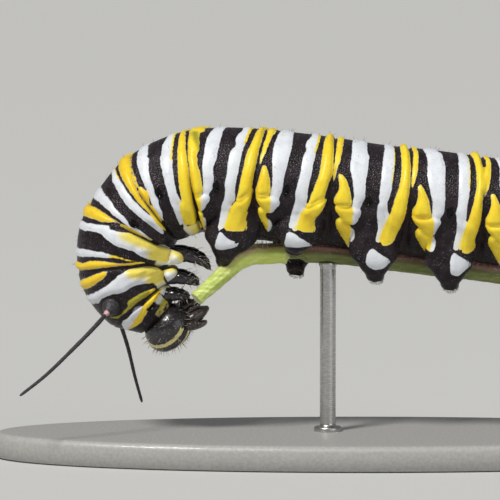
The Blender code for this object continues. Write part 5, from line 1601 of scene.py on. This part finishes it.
def stem_material(settings):
    material, tree, shader, place = start_material("stem_bark", Roughness=0.5, Subsurface_Weight=0.12,
                                                   Subsurface_Scale=0.0003)
    streak = drawn_noise(tree, place, (0.18, 1.0, 1.0), 4.5, 4.0, 0.6)
    along, top = field(tree, "along"), field(tree, "top")
    light = tuple(min(c * 1.35 + 0.03, 1.0) for c in settings.stem)
    green = blend_colours(tree, fade(tree, streak, 0.3, 0.7), settings.stem, light)
    green = blend_colours(tree, fade(tree, streak, 0.50, 0.64, 0.0, 0.8), green, (0.80, 0.88, 0.36))
    # Painted light: over the last few mm before the bite the green is paled, standing in for sunlight on the
    # front part of the stem.
    green = blend_colours(tree, fade(tree, along, -4.6, -3.2, 0.0, 0.55), green, (0.80, 0.92, 0.20))
    # Painted shade: behind the bite the stem turns a darker olive, standing in for the shadow of the larva;
    # the brown on its top is its own tinge.
    shaded_rear = blend_colours(tree, fade(tree, streak, 0.35, 0.7), (0.13, 0.17, 0.035), (0.24, 0.27, 0.07))
    shaded_rear = blend_colours(tree, multiply(tree, fade(tree, top, -0.35, 0.45), 0.85), shaded_rear, (0.20, 0.125, 0.075))
    tone = blend_colours(tree, fade(tree, along, 0.05, 0.25), green, shaded_rear)
    blush = multiply(tree, fade(tree, top, 0.10, 0.55), fade(tree, streak, 0.35, 0.65, 0.35, 0.9))
    blush = multiply(tree, blush, fade(tree, along, -5.0, -3.6))
    tone = blend_colours(tree, blush, tone, (0.46, 0.20, 0.20))
    colour_shader(tree, shader, blend_colours(tree, field(tree, "cut"), tone, (0.66, 0.68, 0.36)))
    bump(tree, shader, add_up(tree, streak, noise(tree, place, 16.0)), 0.03, 0.8)
    return material


def stem_radius(x):
    return np.interp(x, *np.transpose(STEM_RADII))


class LARVA_OT_stem(bpy.types.Operator):
    """Builds the cut stem that the larva grips, ribbed, with the bite part way along it"""

    bl_idname = "larva.stem"
    bl_label = "Stem"

    def execute(self, context):
        line, ahead, length = smooth_path(STEM_PATH, STEM_ROWS)
        first, second = steady_axes(ahead)
        share, turn = np.linspace(0.0, 1.0, STEM_ROWS), turns(STEM_COLUMNS)
        ribs = np.cos(turn * STEM_RIBS + 0.8 * np.sin(share * 9.0)[:, None])
        radius = stem_radius(line[:, 0])[:, None] + STEM_RIB_RISE * ribs
        radius += 0.012 * ripple(share[:, None] * 30.0, turn[None] * 1.2, 31)
        at = (share - np.interp(STEM_BITE_X, line[:, 0], share)) * length
        bitten = ease((at + 0.02) / 0.12) * (1.0 - ease((at - 0.75) / 0.60))
        jag = 1.0 + 0.25 * np.sin(turn * 7.0) * np.sin(turn * 3.0 + 1.0)
        radius += (0.05 * fall_off(at + 0.15, 0.12) - STEM_BITE_DEEP * bitten)[:, None] * jag
        rings = line[:, None] + first[:, None] * (np.cos(turn)[None] * radius)[..., None]
        rings = rings + second[:, None] * (np.sin(turn)[None] * radius)[..., None]
        front, rear = self.end_rings(rings[0], -ahead[0]), self.end_rings(rings[-1], ahead[-1])
        up = (rings - line[:, None])[..., 2] / radius
        along, cut = (values[:, None].repeat(STEM_COLUMNS, 1) for values in (at, fall_off(at - 0.03, 0.10)))
        fields = {"along": along, "top": up, "cut": cut, "keep": 0.12 + 0.88 * ease(up / 0.8)}
        fields = {key: spread(block, len(front), len(rear)) for key, block in fields.items()}
        # The cut faces are pale all over, and no hair stands at their middles.
        fields["cut"][:front[..., 0].size] = fields["cut"][-rear[..., 0].size - 2:] = 1.0
        fields["keep"][-2:] = 0.0
        material = stem_material(context.scene.larva_stand)
        add_piece("stem_piece", [np.concatenate([front[::-1], rings, rear])], material,
                  ["perch_stem"], fields)
        return {"FINISHED"}

    @staticmethod
    def end_rings(ring, ahead):
        """Rings that round the rim over and close in on the cut face, slightly hollow."""
        centre = ring.mean(0)
        return np.stack([centre + (ring - centre) * size + ahead * rise for size, rise in STEM_END])


def base_material(settings):
    material, tree, shader, place = start_material("stand_moulded", Roughness=0.42, Coat_Weight=0.1)
    grain = noise(tree, place, 5.0, 5.0, 0.6)
    tone = blend_colours(tree, fade(tree, grain, 0.35, 0.65), settings.base,
                         tuple(c * 0.86 for c in settings.base))
    colour_shader(tree, shader, tone, fade(tree, grain, 0.3, 0.7, 0.36, 0.52))
    bump(tree, shader, noise(tree, place, 9.0, 3.0, 0.55), 0.02, 0.6)
    return material


def steel_material():
    material, tree, shader, place = start_material("stand_steel", Metallic=1.0, Roughness=0.3)
    brushed = drawn_noise(tree, place, (0.12, 0.12, 1.0), 26.0, 3.0)
    tone = blend_colours(tree, fade(tree, brushed, 0.3, 0.7), (0.60, 0.59, 0.57), (0.46, 0.455, 0.45))
    colour_shader(tree, shader, tone, fade(tree, brushed, 0.3, 0.7, 0.24, 0.40))
    bump(tree, shader, brushed, 0.004, 0.5)
    return material


class LARVA_OT_stand(bpy.types.Operator):
    """Builds the oval base and the two rods, each with a collar below and a saddle under the stem"""

    bl_idname = "larva.stand"
    bl_label = "Display stand"

    def execute(self, context):
        # Inset from the rim and height, from the underside up over the rounded edge.
        bend = np.linspace(0.0, math.pi / 2, 9)
        edge = [*BASE_FOOT, *zip(BASE_EDGE * (1 - np.cos(bend)),
                                 BASE_HEIGHT - BASE_EDGE * (1 - np.sin(bend))),
                *((inset, BASE_HEIGHT) for inset in BASE_INSETS)]
        long, wide = BASE_HALF
        rings = np.array([self.ring(0.0, long - inset, wide - inset, z, BASE_COLUMNS) for inset, z in edge])
        base = base_material(context.scene.larva_stand)
        add_piece("stand_base_piece", [rings], base, ["stand_base"])
        steel = steel_material()
        line, _, _ = smooth_path(STEM_PATH, 400)
        for name, x in RODS:
            at = int(np.argmin(np.abs(line[:, 0] - x)))
            top = line[at, 2] - stem_radius(line[at, 0]) + ROD_INTO_STEM
            shape = [(radius, BASE_HEIGHT + z) for radius, z in ROD_COLLAR]
            shape += [(ROD_RADIUS, z) for z in np.linspace(BASE_HEIGHT + 0.5, top - 0.5, 12)]
            shape += [(radius, top + z) for radius, z in ROD_SADDLE]
            rings = np.array([self.ring(x, radius, radius, z, ROD_COLUMNS) for radius, z in shape])
            add_piece(name + "_piece", [rings], steel, [name])
        return {"FINISHED"}

    @staticmethod
    def ring(x, half_long, half_wide, z, columns):
        """A level oval ring."""
        turn = turns(columns)
        return np.stack([x + half_long * np.cos(turn), half_wide * np.sin(turn), np.full(columns, z)], 1)


class LARVA_OT_stage(bpy.types.Operator):
    """Sets the plain floor, the soft lights and the camera"""

    bl_idname = "larva.stage"
    bl_label = "Stage"

    def execute(self, context):
        scene = context.scene
        rim = [(FLOOR_RADIUS * math.cos(a), FLOOR_RADIUS * math.sin(a), 0.0) for a in turns(64)]
        mesh = bpy.data.meshes.new("studio_floor")
        mesh.from_pydata(rim, [], [list(range(len(rim)))])
        paint = {"Roughness": 0.85, "Base_Color": (*scene.larva_stand.floor, 1.0), "Specular_IOR_Level": 0.1}
        mesh.materials.append(start_material("studio_floor_paint", **paint)[0])
        world = bpy.data.worlds.new("studio")
        world.use_nodes = True
        background = world.node_tree.nodes["Background"].inputs
        background["Color"].default_value, background["Strength"].default_value = WORLD_COLOUR, WORLD_STRENGTH
        scene.world = world
        stage = [link_object("studio_floor", mesh)]
        for name, kind, place, size, power, tint in LIGHTS:
            data = bpy.data.lights.new(name, kind)
            data.energy, data.color = power, tint
            setattr(data, "angle" if kind == "SUN" else "size", size)
            lamp = link_object(name, data)
            lamp.location = place
            lamp.rotation_euler = (Vector(LIT) - Vector(place)).to_track_quat("-Z", "Y").to_euler()
            stage.append(lamp)
        data = bpy.data.cameras.new("camera")
        data.sensor_width, data.lens, data.clip_start, data.clip_end = 36.0, CAMERA_LENS, 0.001, 20.0
        camera = link_object("camera", data)
        rise = math.radians(CAMERA_RISE)
        camera.location = Vector(TARGET) * MM + Vector((0.0, -math.cos(rise), math.sin(rise))) * CAMERA_AWAY
        camera.rotation_euler = (math.pi / 2 - rise, 0.0, 0.0)
        scene.camera = camera
        scene.view_settings.view_transform = "Standard"
        return {"FINISHED"}


class LARVA_PT_panel(bpy.types.Panel):
    bl_label = "Larva"
    bl_idname = "LARVA_PT_panel"
    bl_space_type = "VIEW_3D"
    bl_region_type = "UI"
    bl_category = "Larva"

    def draw(self, context):
        layout = self.layout
        for settings in (context.scene.larva, context.scene.larva_stand):
            for key in settings.__annotations__:
                layout.prop(settings, key)
        for operator in OPERATORS:
            layout.operator(operator.bl_idname)


OPERATORS = (LARVA_OT_skin, LARVA_OT_spiracles, LARVA_OT_head, LARVA_OT_mouth, LARVA_OT_legs,
             LARVA_OT_filaments, LARVA_OT_stem, LARVA_OT_stand, LARVA_OT_hairs, LARVA_OT_hooks,
             LARVA_OT_stage)
CLASSES = (LarvaSettings, StandSettings, *OPERATORS, LARVA_PT_panel)


def register():
    for made in CLASSES:
        bpy.utils.register_class(made)
    bpy.types.Scene.larva = bpy.props.PointerProperty(type=LarvaSettings)
    bpy.types.Scene.larva_stand = bpy.props.PointerProperty(type=StandSettings)


def unregister():
    del bpy.types.Scene.larva_stand
    del bpy.types.Scene.larva
    for made in reversed(CLASSES):
        bpy.utils.unregister_class(made)


def main():
    register()
    for operator in OPERATORS:
        group, name = operator.bl_idname.split(".")
        if getattr(getattr(bpy.ops, group), name)() != {"FINISHED"}:
            raise RuntimeError("not finished: " + operator.bl_idname)


if __name__ == "__main__":
    main()
